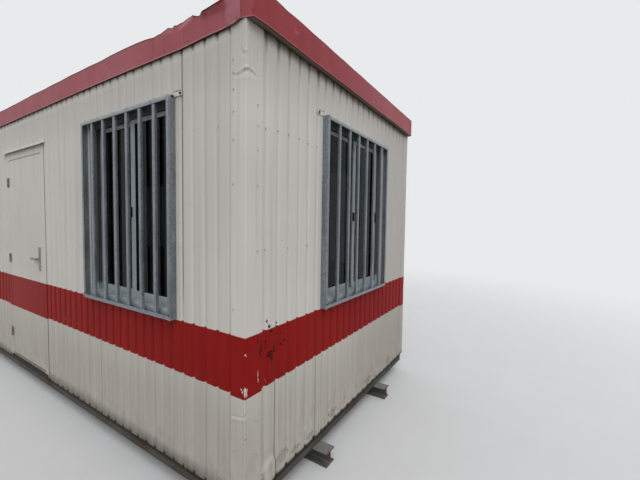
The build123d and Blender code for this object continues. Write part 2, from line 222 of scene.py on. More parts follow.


# Base frame: 120 mm channels round the edge with their webs outwards, and channel joists across,
# welded and painted grey. Road dirt and rust sit on them, and their top under the sheets' foot is
# darkened, partly by damp grime and partly by painted shade.
def frame_finish():
    coat = Finish("dirty frame paint", (88, 84, 77), gloss=0.25)
    patches = coat.cloud(4.0, detail=6.0)
    grain = coat.cloud(80.0, detail=3.0)
    coat.paint((68, 64, 58), coat.ramp(patches, 0.3, 0.7))
    rust = coat.ramp(coat.sum(patches, coat.times(grain, 0.35)), 0.74, 0.86)
    coat.paint((88, 56, 40), rust, 0.7)
    # The top of the frame under the sheets' foot is darkened: partly damp grime, partly painted shade.
    shade_and_grime_under_sheets = coat.times(coat.ramp(coat.z, 0.138, 0.155), 0.8)
    coat.paint((27, 25, 22), shade_and_grime_under_sheets)
    return coat.done(coat.sum(0.7, coat.times(rust, 0.2)), coat.sum(grain, rust), 0.0006)


frame_paint = frame_finish()
eased_copy("base_frame_channels", "base_frame", frame_paint, 0.003)
eased_copy("floor_joist_channels", "floor_joists", frame_paint, 0.001)


# Floor: worn brown plywood over the joists, its face grain running along the cabin.
def board_finish(name, dark, light, stretch, roughness):
    coat = Finish(name, dark)
    grain = coat.cloud(6.0, stretch, 6.0)
    wear = coat.cloud(1.6, detail=4.0)
    coat.paint(light, coat.ramp(grain, 0.35, 0.65))
    coat.paint(dark, coat.ramp(wear, 0.45, 0.7), 0.4)
    return coat.done(coat.sum(roughness, coat.times(grain, 0.2)), grain, 0.0004)


def paint_node(node, finish):
    """Gives a CAD node that is shown as it is its finish."""
    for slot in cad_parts[node].material_slots:
        slot.material = finish


floor_board = board_finish("floor plywood", (72, 56, 42), (98, 78, 58), (1, 12, 12), 0.55)
paint_node("floor_deck", floor_board)


# Wall panels: framed and insulated, lined inside with brown wood-effect board.
wall_board = board_finish("wall lining board", (78, 56, 38), (104, 78, 54), (14, 14, 0.8), 0.45)
for side in ("front", "right_end", "back", "left_end"):
    paint_node("wall_panel_" + side, wall_board)


# Cladding: 0.8 mm steel sheet, rolled with a shallow groove every 100 mm and screwed to the
# panels. It is sprayed cream with a red band, and is dusty and streaked. It is darker low down,
# partly dirt and partly painted shade, and painted shade darkens it towards the back, under the
# eaves and in the grooves under the trim and at the foot.
HALF_LENGTH, HALF_WIDTH = 3.0, 1.25
# Each wall's turn in degrees, its distance from the middle and its half width
WALLS = {
    "front": (0, HALF_WIDTH, HALF_LENGTH),
    "right_end": (90, HALF_LENGTH, HALF_WIDTH),
    "back": (180, HALF_WIDTH, HALF_LENGTH),
    "left_end": (270, HALF_LENGTH, HALF_WIDTH),
}
WINDOWS = {"front": (-1.889, 1.889), "right_end": (0.0,), "back": (-1.889, 1.889), "left_end": (0.0,)}
WINDOW_HALF_WIDTH, SILL, HEAD = 0.5, 1.122, 2.357
DOOR_HALF_WIDTH, DOOR_TOP = 0.475, 2.310
SHEET_BOTTOM, SHEET_TOP = 0.187, 2.6555
BAND_BOTTOM, BAND_TOP = 0.757, 1.073


def on_wall(side, across, depth, height):
    """Points of a wall's drawing: across to the right seen from outside, depth inwards, height up.
    X = across cos a - (depth - reach) sin a, Y = across sin a + (depth - reach) cos a."""
    angle, reach = WALLS[side][:2]
    cosine = round(math.cos(math.radians(angle)))
    sine = round(math.sin(math.radians(angle)))
    across, inwards, height = np.broadcast_arrays(across, np.asarray(depth) - reach, height)
    x = across * cosine - inwards * sine
    y = across * sine + inwards * cosine
    return np.stack([x, y, height], axis=-1).astype(float)


def grid(points, close_rows=False, close_columns=False):
    """Four-sided faces of a grid of points P[i, j]. Their outside is (along j) x (along i)."""
    rows, columns = points.shape[:2]
    next_rows = np.arange(rows if close_rows else rows - 1)
    next_columns = np.arange(columns if close_columns else columns - 1)
    i, j = np.meshgrid(next_rows, next_columns, indexing="ij")
    next_i = (i + 1) % rows
    next_j = (j + 1) % columns
    faces = [i * columns + j, i * columns + next_j, next_i * columns + next_j, next_i * columns + j]
    return points.reshape(-1, 3), [np.stack(faces, axis=-1).reshape(-1, 4)]


def mesh_of(name, shells, crease=30.0):
    """One mesh of several shells, each its corners and a list of face arrays."""
    first = np.cumsum([0] + [len(corners) for corners, faces in shells])
    corners = np.concatenate([corners for corners, faces in shells])
    faces = []
    for start, shell in zip(first, shells):
        for array in shell[1]:
            faces += (array + start).tolist()
    mesh = bpy.data.meshes.new(name)
    mesh.from_pydata(corners.tolist(), [], faces)
    mesh.polygons.foreach_set("use_smooth", np.ones(len(mesh.polygons), dtype=bool))
    mesh.set_sharp_from_angle(angle=math.radians(crease))
    return mesh


def tag(mesh, name, values):
    """Stores a number for each corner point, which the finish reads."""
    mesh.attributes.new(name, "FLOAT", "POINT").data.foreach_set("value", np.ravel(values))


def thicken(piece, gauge, offset=-1.0):
    """Gives a surface its sheet gauge, behind it or, with offset 1, in front."""
    sheet = piece.modifiers.new("gauge", "SOLIDIFY")
    sheet.thickness = gauge
    sheet.offset = offset


def openings(side):
    """The windows and the door of a wall, each as left, right, bottom and top."""
    holes = [(c - WINDOW_HALF_WIDTH, c + WINDOW_HALF_WIDTH, SILL, HEAD) for c in WINDOWS[side]]
    if side == "front":
        holes.append((-DOOR_HALF_WIDTH, DOOR_HALF_WIDTH, SHEET_BOTTOM, DOOR_TOP))
    return np.array(holes)


def within(holes, across, height, margin=0.0):
    """Whether each point lies in one of the holes, or no further from it than the margin."""
    across, height = across[:, None], height[:, None]
    inside = (across > holes[:, 0] - margin) & (across < holes[:, 1] + margin)
    inside &= (height > holes[:, 2] - margin) & (height < holes[:, 3] + margin)
    return inside.any(axis=1)


def merged(values, kept, gap):
    """Sorted values that always hold the kept ones, and no other nearer to them than the gap."""
    clear = np.abs(values[:, None] - kept[None, :]).min(axis=1) > gap
    return np.unique(np.concatenate([values[clear], kept]))


def cladding_mesh(name, side, edge, laps, seed):
    """Sheet depth = 5.5 mm x (1 - S((|u| - 4) / 15)), u the distance in mm to the nearest groove
    and S(t) = 3t^2 - 2t^3. A lap adds a lift that dies away as e^(-u / 80 mm), and the flats
    buckle by a sum of slow sines. A lap (place, foot, head) is as dirty as foot low down and as
    head from 0.36 m higher up. The front's grooves stand 10 mm aside, and the right end's foot
    bulges by 11 mm within 85 mm of u = -1.050, z = 0.250."""
    grooves = np.arange(-round(edge * 10), round(edge * 10) + 1) * 0.1
    grooves = grooves[np.abs(grooves) < edge - 0.02] - (0.010 if side == "front" else 0.0)
    steps = np.array([-19, -15.5, -12, -8.5, -4, 4, 8.5, 12, 15.5, 19, 34, 50, 66]) / 1000
    across = (grooves[:, None] + steps).ravel()
    across = across[np.abs(across) < edge]
    holes = openings(side)
    laps, foot, head = np.array(laps).T
    round_laps = (laps[:, None] + np.array([-0.0050, -0.0034, 0.0034, 0.0050])).ravel()
    kept = np.concatenate([holes[:, :2].ravel(), round_laps, [-edge, edge]])
    across = merged(across, kept, 0.0009)
    levels = np.linspace(SHEET_BOTTOM, SHEET_TOP, 29)
    if side == "right_end":
        levels = np.unique(np.append(levels, np.linspace(0.205, 0.355, 11)))
    levels = merged(levels, np.append(holes[:, 2:], [SHEET_BOTTOM, SHEET_TOP]), 0.012)
    u, z = np.meshgrid(across, levels)
    off_groove = np.abs(u[..., None] - grooves).min(axis=-1)
    t = np.clip((off_groove - 0.004) / 0.015, 0.0, 1.0)
    recess = 1.0 - t * t * (3.0 - 2.0 * t)
    phase = np.random.default_rng(seed).uniform(0, 6.28, 4)
    buckle = np.sin(7.3 * u + 2.1 * z + phase[0])
    buckle += np.sin(17.0 * u + phase[1]) * np.sin(3.7 * z + phase[2])
    buckle += 0.6 * np.sin(41.0 * u + phase[3]) * np.sin(9.0 * z + phase[0])
    past_lap = u[..., None] - laps
    over = np.where(past_lap > 0, np.exp(-past_lap / 0.08), 0.0).max(axis=-1)
    lift = over * (0.0008 + 0.0026 * np.exp(-(z - SHEET_BOTTOM) / 0.22))
    if side == "right_end":
        from_bulge = np.hypot((u + 1.050) / 0.085, (z - 0.250) / 0.085)
        t = np.clip((1.0 - from_bulge) / 0.4, 0.0, 1.0)
        lift = lift + 0.011 * t * t * (3.0 - 2.0 * t)
    depth = 0.0055 * recess + 0.0003 * buckle - lift + 0.0006
    corners, (faces,) = grid(on_wall(side, u, depth, z))
    mid_u = u.ravel()[faces].mean(axis=1)
    mid_z = z.ravel()[faces].mean(axis=1)
    faces = faces[~within(holes, mid_u, mid_z)]
    used = np.unique(faces)
    number = np.zeros(len(corners), dtype=int)
    number[used] = np.arange(len(used))
    mesh = mesh_of(name, [(corners[used], [number[faces]])], 40.0)
    upper_from = 1.07 if side == "front" else 0.74
    high = np.clip((z[..., None] - upper_from) / 0.36, 0.0, 1.0)
    worn = np.where(np.abs(past_lap) < 0.0040, foot + (head - foot) * high, 0.0).max(axis=-1)
    dirt = np.where(worn > 0.0, 1.0 + worn, recess).ravel()[used]
    tag(mesh, "recess", dirt)
    return mesh


def wall_coat(name, on_flashing, fresher=0, eave_shade_and_dirt=0.1, groove_shade_from=2.595, dark=(), pale=(), grime=()):
    """Cream paint with its clouding, rain streaks, groove dirt and splashed mud, and the red band.
    Painted shade darkens it towards the back, towards the eaves and in the grooves at head and foot;
    under the eaves and low down the darkening is partly mould and dirt. The last three are marks: dark
    scuffs, pale scratches (on the flashing also a painted highlight along a crease) and grime."""
    coat = Finish(name, (216 + fresher, 213 + fresher, 206 + fresher), gloss=0.05)
    broad = coat.cloud(1.2, detail=4.0)
    streaks = coat.cloud(1.0, (30, 30, 0.8), 5.0)
    fine = coat.cloud(150.0, detail=2.0)
    splash = coat.cloud(9.0, (1.6, 1.6, 1.0), 6.0)
    torn = coat.torn(45.0, 0.022)
    coat.paint((205 + fresher, 201 + fresher, 192 + fresher), coat.ramp(broad, 0.35, 0.7), 0.5)
    coat.paint((180, 176, 165), coat.ramp(streaks, 0.48, 0.74), 0.3)
    # Darker towards the back and towards the eaves: painted shade, not weathering.
    weathered = coat.most(coat.ramp(coat.y, -0.6, 1.1), coat.times(coat.ramp(coat.z, 2.2, 2.6), 0.6))
    coat.paint((180, 177, 170), weathered, 0.6)
    # Darker low down: partly dirt, partly painted shade.
    low = coat.ramp(coat.z, 1.1, 0.5)
    coat.paint((168, 161, 149), low, coat.sum(0.35, coat.times(streaks, 0.4)))
    mud = coat.times(coat.ramp(coat.z, 0.55, 0.2), coat.ramp(splash, 0.46, 0.70))
    coat.paint((132, 120, 103), mud, 0.3)
    edge_rust = coat.times(coat.ramp(coat.z, 0.202, 0.188), coat.ramp(splash, 0.42, 0.6))
    coat.paint((84, 66, 52), edge_rust, 0.6)
    # Under the eaves: a dark band, partly mould and partly painted shade.
    eave_shade_and_mould = coat.times(coat.ramp(coat.z, 2.590, 2.652), coat.sum(0.6, coat.ramp(streaks, 0.4, 0.7)))
    coat.paint((88, 84, 70), eave_shade_and_mould, eave_shade_and_dirt)
    uneven = coat.times(coat.sum(coat.cloud(22.0, detail=2.0), -0.5), 0.006)
    level = coat.sum(coat.z, uneven)
    if not on_flashing:
        recess = coat.attribute("recess")
        level = coat.sum(level, coat.times(coat.ramp(recess, 0.3, 1.0), -0.004))
    foot = coat.sum(level, 0.008 if on_flashing else 0.0)
    pale_line = coat.times(coat.ramp(foot, BAND_BOTTOM - 0.007, BAND_BOTTOM - 0.004), 0.6)
    pale_line = coat.times(pale_line, coat.ramp(foot, BAND_BOTTOM + 0.002, BAND_BOTTOM))
    coat.paint((205, 200, 192), pale_line)
    band = coat.ramp(foot, BAND_BOTTOM - 0.001, BAND_BOTTOM + 0.001)
    band = coat.times(band, coat.ramp(level, BAND_TOP + 0.001, BAND_TOP - 0.001))
    red = coat.layer(coat.ramp(broad, 0.35, 0.65), srgb(151, 30, 27), srgb(142, 28, 26))
    red = coat.layer(coat.times(coat.ramp(streaks, 0.5, 0.75), 0.4), red, srgb(118, 26, 25))
    upper_edge = coat.times(coat.ramp(level, BAND_TOP - 0.006, BAND_TOP - 0.001), 0.5)
    red = coat.layer(upper_edge, red, srgb(176, 96, 90))
    outside_x = coat.ramp(coat.size_of(coat.x), 2.90, 2.91)
    outside_y = coat.ramp(coat.size_of(coat.y), 1.222, 1.230)
    coat.paint(red, band, coat.most(outside_x, outside_y))
    chips = coat.ramp(coat.cloud(38.0, detail=2.0), 0.735, 0.755)
    coat.paint((150, 140, 128), chips, coat.ramp(coat.cloud(3.0), 0.5, 0.62), 0.6)
    if not on_flashing:
        # In the grooves: faint dirt all over, and painted shade under the trim and at the sheet's foot.
        at_head = coat.times(coat.ramp(coat.z, groove_shade_from, 2.645), 0.46)
        at_foot = coat.times(coat.ramp(coat.z, 0.206, 0.194), 0.75)
        in_groove = coat.ramp(recess, 0.2, 1.0)
        coat.paint((72, 64, 53), in_groove, coat.sum(0.03, coat.sum(at_head, at_foot)))
        coat.paint((64, 52, 45), coat.ramp(recess, 1.0, 2.0), 0.8)
    specks = coat.ramp(coat.cloud(130.0, (1.0, 1.0, 0.55), 3.0), 0.42, 0.50)
    for centre, size in grime:
        coat.paint((132, 114, 88), coat.mark(torn, centre, size), specks, 0.55)
    for centre, size in pale:
        coat.paint((214, 208, 202), coat.mark(torn, centre, size))
    for centre, size in dark:
        coat.paint((22, 15, 15), coat.mark(torn, centre, size), specks)
    roughness = coat.sum(0.40, coat.times(mud, 0.3), coat.times(fine, 0.12))
    waves = coat.cloud(5.0, (1, 1, 0.6), 2.0)
    return coat.done(roughness, coat.sum(coat.times(fine, 0.05), waves), 0.004, 0.35)


def mm(*rows):
    """Rows of measures in millimetres, as metres."""
    return np.array(rows) / 1000.0


def end_marks(*rows):
    """Marks on the right end wall: rows of y, z and the half sizes along them, in mm."""
    return [((HALF_LENGTH, y, z), (0.03, half_y, half_z)) for y, z, half_y, half_z in mm(*rows)]


end_scuffs = end_marks(
    (-1083, 1118, 5, 20), (-999, 1094, 11, 8), (-1064, 1087, 11, 11), (-1115, 1075, 9, 12),
    (-1049, 1056, 18, 8), (-1001, 1029, 8, 8), (-1092, 990, 5, 28), (-1108, 915, 4, 20),
    (-1060, 930, 30, 20), (-1044, 905, 12, 30), (-1135, 968, 14, 16), (-1014, 938, 10, 10),
    (-935, 972, 10, 8), (-971, 1024, 6, 6), (-1024, 949, 7, 30), (-1015, 972, 5, 14),
    (-967, 961, 12, 7), (-955, 948, 4, 12), (-1076, 890, 4, 18),
)
end_stains = end_marks(
    (-940, 272, 62, 40), (-810, 240, 60, 18), (-640, 232, 50, 22), (-340, 250, 70, 30),
    (300, 240, 90, 30), (800, 250, 60, 40), (-1120, 250, 20, 30),
)
end_flakes = end_marks((-700, 312, 16, 8), (-640, 318, 10, 6), (-736, 320, 6, 6), (-905, 330, 6, 10))
wall_paint = wall_coat("cream wall paint", False)
end_paint = wall_coat("cream end wall paint", False, 7, 0.45, 2.50, end_scuffs, end_flakes, end_stains)
CLADDING_LAPS = {
    "front": (
        (-2.514, 0.5, 0.3), (-1.514, 0.4, 0.6), (-0.614, 0.6, 0.2),
        (0.586, 0.3, 0.2), (1.486, 0.5, 0.2), (2.491, 0.15, 1.2),
    ),
    "right_end": ((-1.014, 0.8, 0.06), (-0.586, 0.5, 0.1), (0.586, 0.3, 0.2)),
    "back": (
        (-2.514, 0.4, 0.6), (-1.514, 0.6, 0.3), (-0.514, 0.4, 0.5),
        (0.486, 0.5, 0.2), (1.486, 0.3, 0.4), (2.486, 0.6, 0.5),
    ),
    "left_end": ((-0.586, 0.5, 0.3), (0.586, 0.4, 0.5)),
}
for number, side in enumerate(WALLS):
    half = WALLS[side][2]
    mesh = cladding_mesh("wall_sheet_" + side, side, half - 0.011, CLADDING_LAPS[side], number)
    paint = wall_paint if half == HALF_LENGTH else end_paint
    sheet = put_in_place("wall_sheet_" + side, mesh, paint, ["cladding_" + side])
    thicken(sheet, 0.0008)


# Corner flashings: 0.9 mm sheet folded to an L, screwed over both walls' flats and painted with
# them. The near one has been struck: it is creased under the roof and scuffed below the band.
SIDE_LEG, END_LEG, BEND = 0.105, 0.125, 0.004


def flashing_mesh(name, sign_x, sign_y, levels, strokes):
    """A plan line of two legs joined by a bend of radius r = 4 mm, carried up the corner. Each
    stroke runs from (s1, z1) to (s2, z2) on it, s measured along from the corner, and pushes the
    sheet out by height e^(-(d / width)^2), d the distance to the stroke."""
    turn = np.radians(np.linspace(0, 90, 7))[1:-1]
    side_leg = np.linspace(-SIDE_LEG, -BEND, 23)
    end_leg = np.linspace(BEND, END_LEG, 27)
    plan_x = np.concatenate([side_leg, BEND * np.sin(turn) - BEND, 0 * end_leg])
    plan_y = np.concatenate([0 * side_leg, BEND - BEND * np.cos(turn), end_leg])
    out_x = np.concatenate([0 * side_leg, np.sin(turn), 0 * end_leg + 1])
    out_y = np.concatenate([0 * side_leg + 1, np.cos(turn), 0 * end_leg])
    along = plan_x + plan_y
    s, z = np.meshgrid(along, levels)
    push = 0.0005 * np.sin(5.1 * z + 40 * s) + 0.0004 * np.sin(13.0 * z)
    for s1, z1, s2, z2, width, height in strokes:
        run = (s2 - s1) ** 2 + (z2 - z1) ** 2
        share = np.clip(((s - s1) * (s2 - s1) + (z - z1) * (z2 - z1)) / run, 0.0, 1.0)
        off = (s - s1 - share * (s2 - s1)) ** 2 + (z - z1 - share * (z2 - z1)) ** 2
        push = push + height * np.exp(-off / width**2)
    push = push * np.clip(np.minimum(s + SIDE_LEG, END_LEG - s) / 0.02, 0.0, 1.0) + 0.0012
    x = sign_x * (HALF_LENGTH + plan_x + out_x * push)
    y = sign_y * (HALF_WIDTH - plan_y + out_y * push)
    points = np.stack([x, y, z], axis=-1)
    if sign_x * sign_y > 0:
        points = points[:, ::-1]
    return mesh_of(name, [grid(points)], 35.0)


struck = mm(
    (-67, 2401, -6, 2415, 5.5, 2.1), (-6, 2415, 12, 2423, 5.5, 2.4), (12, 2423, 40, 2419, 5.5, 2),
    (40, 2419, 70, 2408, 5.5, 1.3), (-62, 2389, -4, 2402, 8, -3), (-4, 2402, 36, 2406, 8, -4),
    (36, 2406, 66, 2396, 8, -2.2), (-56, 2376, -4, 2366, 11, 0.7), (4, 2368, 72, 2384, 11, 0.6),
    (-30, 2508, -12, 2482, 8, -2.6), (-10, 2500, 4, 2496, 8, 1.8), (86, 2520, 88, 2470, 7, -2),
    (-92, 2500, -92, 2400, 7, -1.6), (-95, 638, -4, 658, 6, -2.6), (-92, 622, -4, 641, 9, 1.8),
    (-2, 661, 18, 668, 5, -2.2), (-2, 690, -2, 750, 3.5, -1), (-6, 532, -5, 542, 6, -2.6),
    (40, 360, 80, 440, 40, -1.4),
)
flashing_scuffs = end_marks((-1132, 1004, 8, 32), (-1129, 968, 16, 24), (-1160, 1030, 4, 10))


def front_marks(*rows):
    """Marks on the front wall: rows of x, z and the half sizes along them, in mm."""
    return [((x, -HALF_WIDTH, z), (half_x, 0.03, half_z)) for x, z, half_x, half_z in mm(*rows)]


flashing_grime = front_marks(
    (2996, 537, 5, 6), (2915, 2475, 4, 9), (2915, 2409, 5, 7), (2917, 2328, 4, 5), (2972, 2505, 5, 10),
)
flashing_grime += end_marks((-1174, 604, 4, 5), (-1176, 418, 3, 5), (-1165, 2487, 4, 6))
flashing_scratches_and_highlights = end_marks((-1154, 858, 2.2, 22), (-1153, 818, 1.8, 14))
# The three marks from 648 to 671 mm high, just above the lower crease, are a painted highlight along it.
flashing_scratches_and_highlights += front_marks(
    (2985, 790, 7, 8), (2972, 803, 4, 5), (2985, 671, 14, 5), (2958, 660, 16, 5), (2930, 648, 14, 4),
)
flashing_scratches_and_highlights += [
    ((3.001, -1.249, 0.985), (0.004, 0.004, 0.004)),
    ((3.001, -1.241, 0.978), (0.009, 0.003, 0.003)),
    ((3.000, -1.250, 0.792), (0.005, 0.006, 0.030)),
    ((3.001, -1.238, 0.783), (0.01, 0.006, 0.022)),
    ((2.998, -1.250, 0.715), (0.0025, 0.006, 0.045)),
]
flashing_marks = flashing_scuffs, flashing_scratches_and_highlights, flashing_grime
flashing_paint = wall_coat("cream flashing paint", True, 9, 0.2, 2.50, *flashing_marks)
below, above = (SHEET_BOTTOM, 0.59, 24), (2.55, SHEET_TOP, 8)
level_runs = (below, (0.60, 0.76, 54), (0.77, 2.33, 60), (2.336, 2.536, 74), above)
struck_levels = np.concatenate([np.linspace(*level_run) for level_run in level_runs])
plain_levels = np.linspace(SHEET_BOTTOM, SHEET_TOP, 60)
plain_strokes = mm(
    (-50, 480, -10, 530, 30, -1.6), (10, 1590, 40, 1600, 25, -1.6), (-20, 2200, 16, 2190, 12, -2.2),
)
for corner in ("front_right", "front_left", "back_right", "back_left"):
    sign_x = 1 if corner.endswith("right") else -1
    sign_y = 1 if corner.startswith("back") else -1
    levels, strokes = (struck_levels, struck) if corner == "front_right" else (plain_levels, plain_strokes)
    mesh = flashing_mesh("corner_strip_" + corner, sign_x, sign_y, levels, strokes)
    node = "corner_flashing_" + corner
    folded = put_in_place("corner_strip_" + corner, mesh, flashing_paint, [node])
    thicken(folded, 0.0009)


# Cladding screws: hexagon-headed self-tapping screws with a washer, driven through the grooves
# and the flashings, and painted over with the wall.
def studs(rings, places):
    """A head drawn as rings of points, with a lid on the last, copied to each place as one shell."""
    corners, faces = grid(rings, close_columns=True)
    faces.append(np.arange(len(corners) - rings.shape[1], len(corners))[None, :])
    starts = (np.arange(len(places)) * len(corners))[:, None, None]
    arrays = [(array[None] + starts).reshape(-1, array.shape[1]) for array in faces]
    return (corners[None] + places[:, None]).reshape(-1, 3), arrays


def screw_heads(side, across, depth, level, radius):
    """A lathe of radius R(h) and, for the head, R / cos(|angle mod 60 deg - 30 deg|), copied to
    each place of the wall as one array."""
    degrees = np.arange(12) * 30.0
    angle = np.radians(degrees)
    hexagon = 1.0 / np.cos(np.radians(np.abs(degrees % 60.0 - 30.0)))
    washer = [(1.0, 0.0), (1.0, 0.0009), (0.82, 0.0015)]
    head = [(0.55, 0.0016), (0.55, 0.0050), (0.44, 0.0056)]
    size = np.array([r + 0.0 * hexagon for r, rise in washer] + [r * hexagon for r, rise in head]) * radius
    rise = np.array([rise for r, rise in washer + head])[:, None] + 0 * angle
    rings = np.stack([size * np.cos(angle), -rise, size * np.sin(angle)], axis=-1)
    places = np.stack(np.broadcast_arrays(across, depth, level), axis=-1).reshape(-1, 3)
    drawn, arrays = studs(rings, places)
    return on_wall(side, *drawn.T), arrays


def piece_of(name, shells, finish, slot, crease=30.0, stands_for=()):
    """A finished piece of several shells, whose edges over `crease` degrees are sharp."""
    return put_in_place(name, mesh_of(name, shells, crease), finish, stands_for)


EVEN = (1, 1, 1)


def mottled(name, base, worn, cloud, worn_from, roughness, relief, metallic=0.0, gloss=0.5, banded=False):
    """A finish that gives way to a worn colour in patches, where it is also rougher and higher.
    The cloud is its scale, stretch and detail, and the roughness its least value and its spread."""
    coat = Finish(name, base, metallic, gloss)
    patches = coat.cloud(*cloud)
    coat.paint(worn, coat.ramp(patches, *worn_from))
    if banded:
        band_foot = coat.ramp(coat.z, BAND_BOTTOM - 0.001, BAND_BOTTOM)
        coat.paint((118, 24, 22), band_foot, coat.ramp(coat.z, BAND_TOP, BAND_TOP - 0.001))
    least, spread = roughness
    return coat.done(coat.sum(least, coat.times(patches, spread)), patches, relief)


screw_greys = (188, 185, 178), (150, 146, 138)
screw_paint = mottled(
    "painted screw heads", *screw_greys, (260.0, EVEN, 2.0), (0.5, 0.7), (0.45, 0.2), 0.0004, 0.2, banded=True
)
chance = np.random.default_rng(41)
edge_screws = {
    HALF_LENGTH: np.array([0.452, 1.210, 1.857, 2.077, 2.217, 2.327, 2.407, 2.472]),
    HALF_WIDTH: np.array([0.417, 0.602, 1.512, 1.852, 2.032, 2.157, 2.262]),
}
for side in WALLS:
    half = WALLS[side][2]
    last = 28 if half == HALF_LENGTH else 11
    every = np.arange(-last, last + 1) * 0.1
    second = every[::2]
    across = np.concatenate([every, second, second])
    level = np.concatenate([0 * every + 2.167, 0 * second + 1.517, 0 * second + 0.262])
    across = across + chance.uniform(-0.0035, 0.0035, len(across))
    level = level + chance.uniform(-0.008, 0.008, len(level))
    shown = ~within(openings(side), across, level, 0.06)
    shells = [screw_heads(side, across[shown], 0.0062, level[shown], 0.0060)]
    for sign in (-1, 1):
        wander = chance.uniform(-0.002, 0.002, len(edge_screws[half]))
        shells.append(screw_heads(side, sign * (half - 0.084) + wander, -0.0010, edge_screws[half], 0.0052))
    piece_of("wall_screws_" + side, shells, screw_paint, "cladding_paint")


# Windows: an aluminium frame screwed into the opening, and two sliding sashes with a pane each in
# a black rubber seal. The metal has weathered to a dull chalky grey; painted shade darkens the
# frame's recesses and its head.
def mitred_ring(side, centre, middle, half_wide, half_high, profile):
    """A closed profile (inset across, inset up, depth) carried round a rectangle with mitred
    corners: corner (sx, sz) lies at across + sx (a - inset), middle + sz (b - inset)."""
    inset_across, inset_up, depth = np.asarray(profile).T
    sign_x = np.array([-1, 1, 1, -1])[:, None]
    sign_z = np.array([-1, -1, 1, 1])[:, None]
    across = centre + sign_x * (half_wide - inset_across)
    height = middle + sign_z * (half_high - inset_up)
    return grid(on_wall(side, across, depth, height), close_rows=True, close_columns=True)


def eased(profile, radius):
    """Every corner C of a closed profile becomes the three points C + r u, C + 0.29 r (u + w) and
    C + r w, where u and w point to its neighbours."""
    profile = np.asarray(profile, dtype=float)
    back = np.roll(profile, 1, axis=0) - profile
    ahead = np.roll(profile, -1, axis=0) - profile
    length_back = np.linalg.norm(back, axis=1, keepdims=True)
    length_ahead = np.linalg.norm(ahead, axis=1, keepdims=True)
    reach = np.minimum(radius, 0.35 * np.minimum(length_back, length_ahead))
    back = back / length_back * reach
    ahead = ahead / length_ahead * reach
    points = np.stack([profile + back, profile + 0.29 * (back + ahead), profile + ahead], axis=1)
    return points.reshape(-1, profile.shape[1])


def even_inset(profile):
    """A profile whose inset is the same at the sides as at the top and bottom."""
    profile = np.asarray(profile, dtype=float)
    return np.column_stack([profile[:, 0], profile[:, 0], profile[:, 1]])


def capped(rings):
    """A tube of rings of points, closed at both ends by a flat lid."""
    corners, faces = grid(rings, close_columns=True)
    count = rings.shape[1]
    last = len(corners) - count
    return corners, faces + [np.arange(count)[None, ::-1], np.arange(last, last + count)[None, :]]


def post(side, outline, bottom, top):
    """An upright piece: an outline (across, depth) carried from bottom to top, with flat ends."""
    across, depth = np.array(outline).T
    return capped(on_wall(side, across, depth, np.array([bottom, top])[:, None]))


def strip(side, outline, left, right):
    """A folded strip: an outline (depth, height) carried from left to right, with flat ends."""
    depth, height = np.array(outline).T
    return capped(on_wall(side, np.array([left, right])[:, None], depth, height))


def plate(side, centre, depth, middle, half_wide, thick, half_high, radius):
    """A block whose outline across and up is eased, and whose thickness runs inwards."""
    wide, high = half_wide, half_high
    across, height = eased([(-wide, -high), (wide, -high), (wide, high), (-wide, high)], radius).T
    inwards = np.array([thick, 0.12 * thick, 0.0])[:, None]
    shrink = np.array([1.0, 1.0, 1.0 - 0.12 * thick / half_high])[:, None]
    return capped(on_wall(side, centre + across * shrink, depth + inwards, middle + height * shrink))


def aluminium_finish():
    coat = Finish("weathered aluminium", (168, 177, 181), 0.35)
    chalk = coat.cloud(14.0, (1, 1, 0.4), 5.0)
    grain = coat.cloud(180.0, (1, 1, 0.3), 2.0)
    coat.paint((153, 160, 162), coat.ramp(chalk, 0.35, 0.7))
    coat.paint((118, 114, 106), coat.ramp(chalk, 0.6, 0.75), 0.3)
    # The frame's recesses and, above the sill, the head zone are darkened: painted shade.
    painted_frame_shade = coat.most(coat.attribute("recess"), coat.ramp(coat.z, 2.336, 2.341))
    coat.paint((50, 50, 45), painted_frame_shade, coat.ramp(coat.z, 1.165, 1.20), 0.85)
    return coat.done(coat.sum(0.42, coat.times(grain, 0.25)), grain, 0.0002)


def glass_finish():
    coat = Finish("dusty window glass", (86, 94, 95))
    dust = coat.cloud(5.0, detail=5.0)
    coat.paint((72, 79, 78), coat.ramp(dust, 0.35, 0.75))
    coat.shader.inputs["Transmission Weight"].default_value = 1.0
    coat.shader.inputs["IOR"].default_value = 1.15
    return coat.done(coat.sum(0.015, coat.times(dust, 0.05)))


aluminium = aluminium_finish()
seal_greys = (16, 16, 17), (30, 29, 28)
seal_rubber = mottled(
    "black rubber seal", *seal_greys, (40.0, EVEN, 4.0), (0.4, 0.7), (0.6, 0.3), 0.0003, gloss=0.1
)
window_glass = glass_finish()
FRAME_FACE = ((34, 30), (34, 25), (8, 25), (8, -1.5), (-13, -1.5), (-13, -0.3), (0, -0.3))
FRAME_BACK = ((0, 71), (34, 71), (34, 69.5), (30, 69.5), (30, 30))
frame_profile = even_inset(eased(mm(*FRAME_FACE, *FRAME_BACK), 0.0012))
frame_profile[:, 1] = np.where(frame_profile[:, 1] > 0.0, 0.47 * frame_profile[:, 1], frame_profile[:, 1])
SASH_FACE = ((48, 28.5, 6), (40, 23.5, 1), (6, 4, 0), (0, 0, 1.5))
SASH_BACK = ((0, 0, 16), (45, 26.5, 16), (48, 28.5, 10.5))
sash_profile = eased(mm(*SASH_FACE, *SASH_BACK), 0.0010)
seal_profile = even_inset(mm((6.5, 5.5), (0, 5), (0, 6.2), (7, 6.2)))
SILL_TOP = ((24, 1130.5), (0, 1127.5), (-8.5, 1124.5), (-8.5, 1090.5), (-4.5, 1086.5))
SILL_UNDERSIDE = ((-7.5, 1090.5), (-7.5, 1123), (0, 1125.5), (24, 1128.5))
sill_profile = eased(mm(*SILL_TOP, *SILL_UNDERSIDE), 0.0005)
SASH_MIDDLE, SASH_HALF_HEIGHT = 1.7455, 0.5935
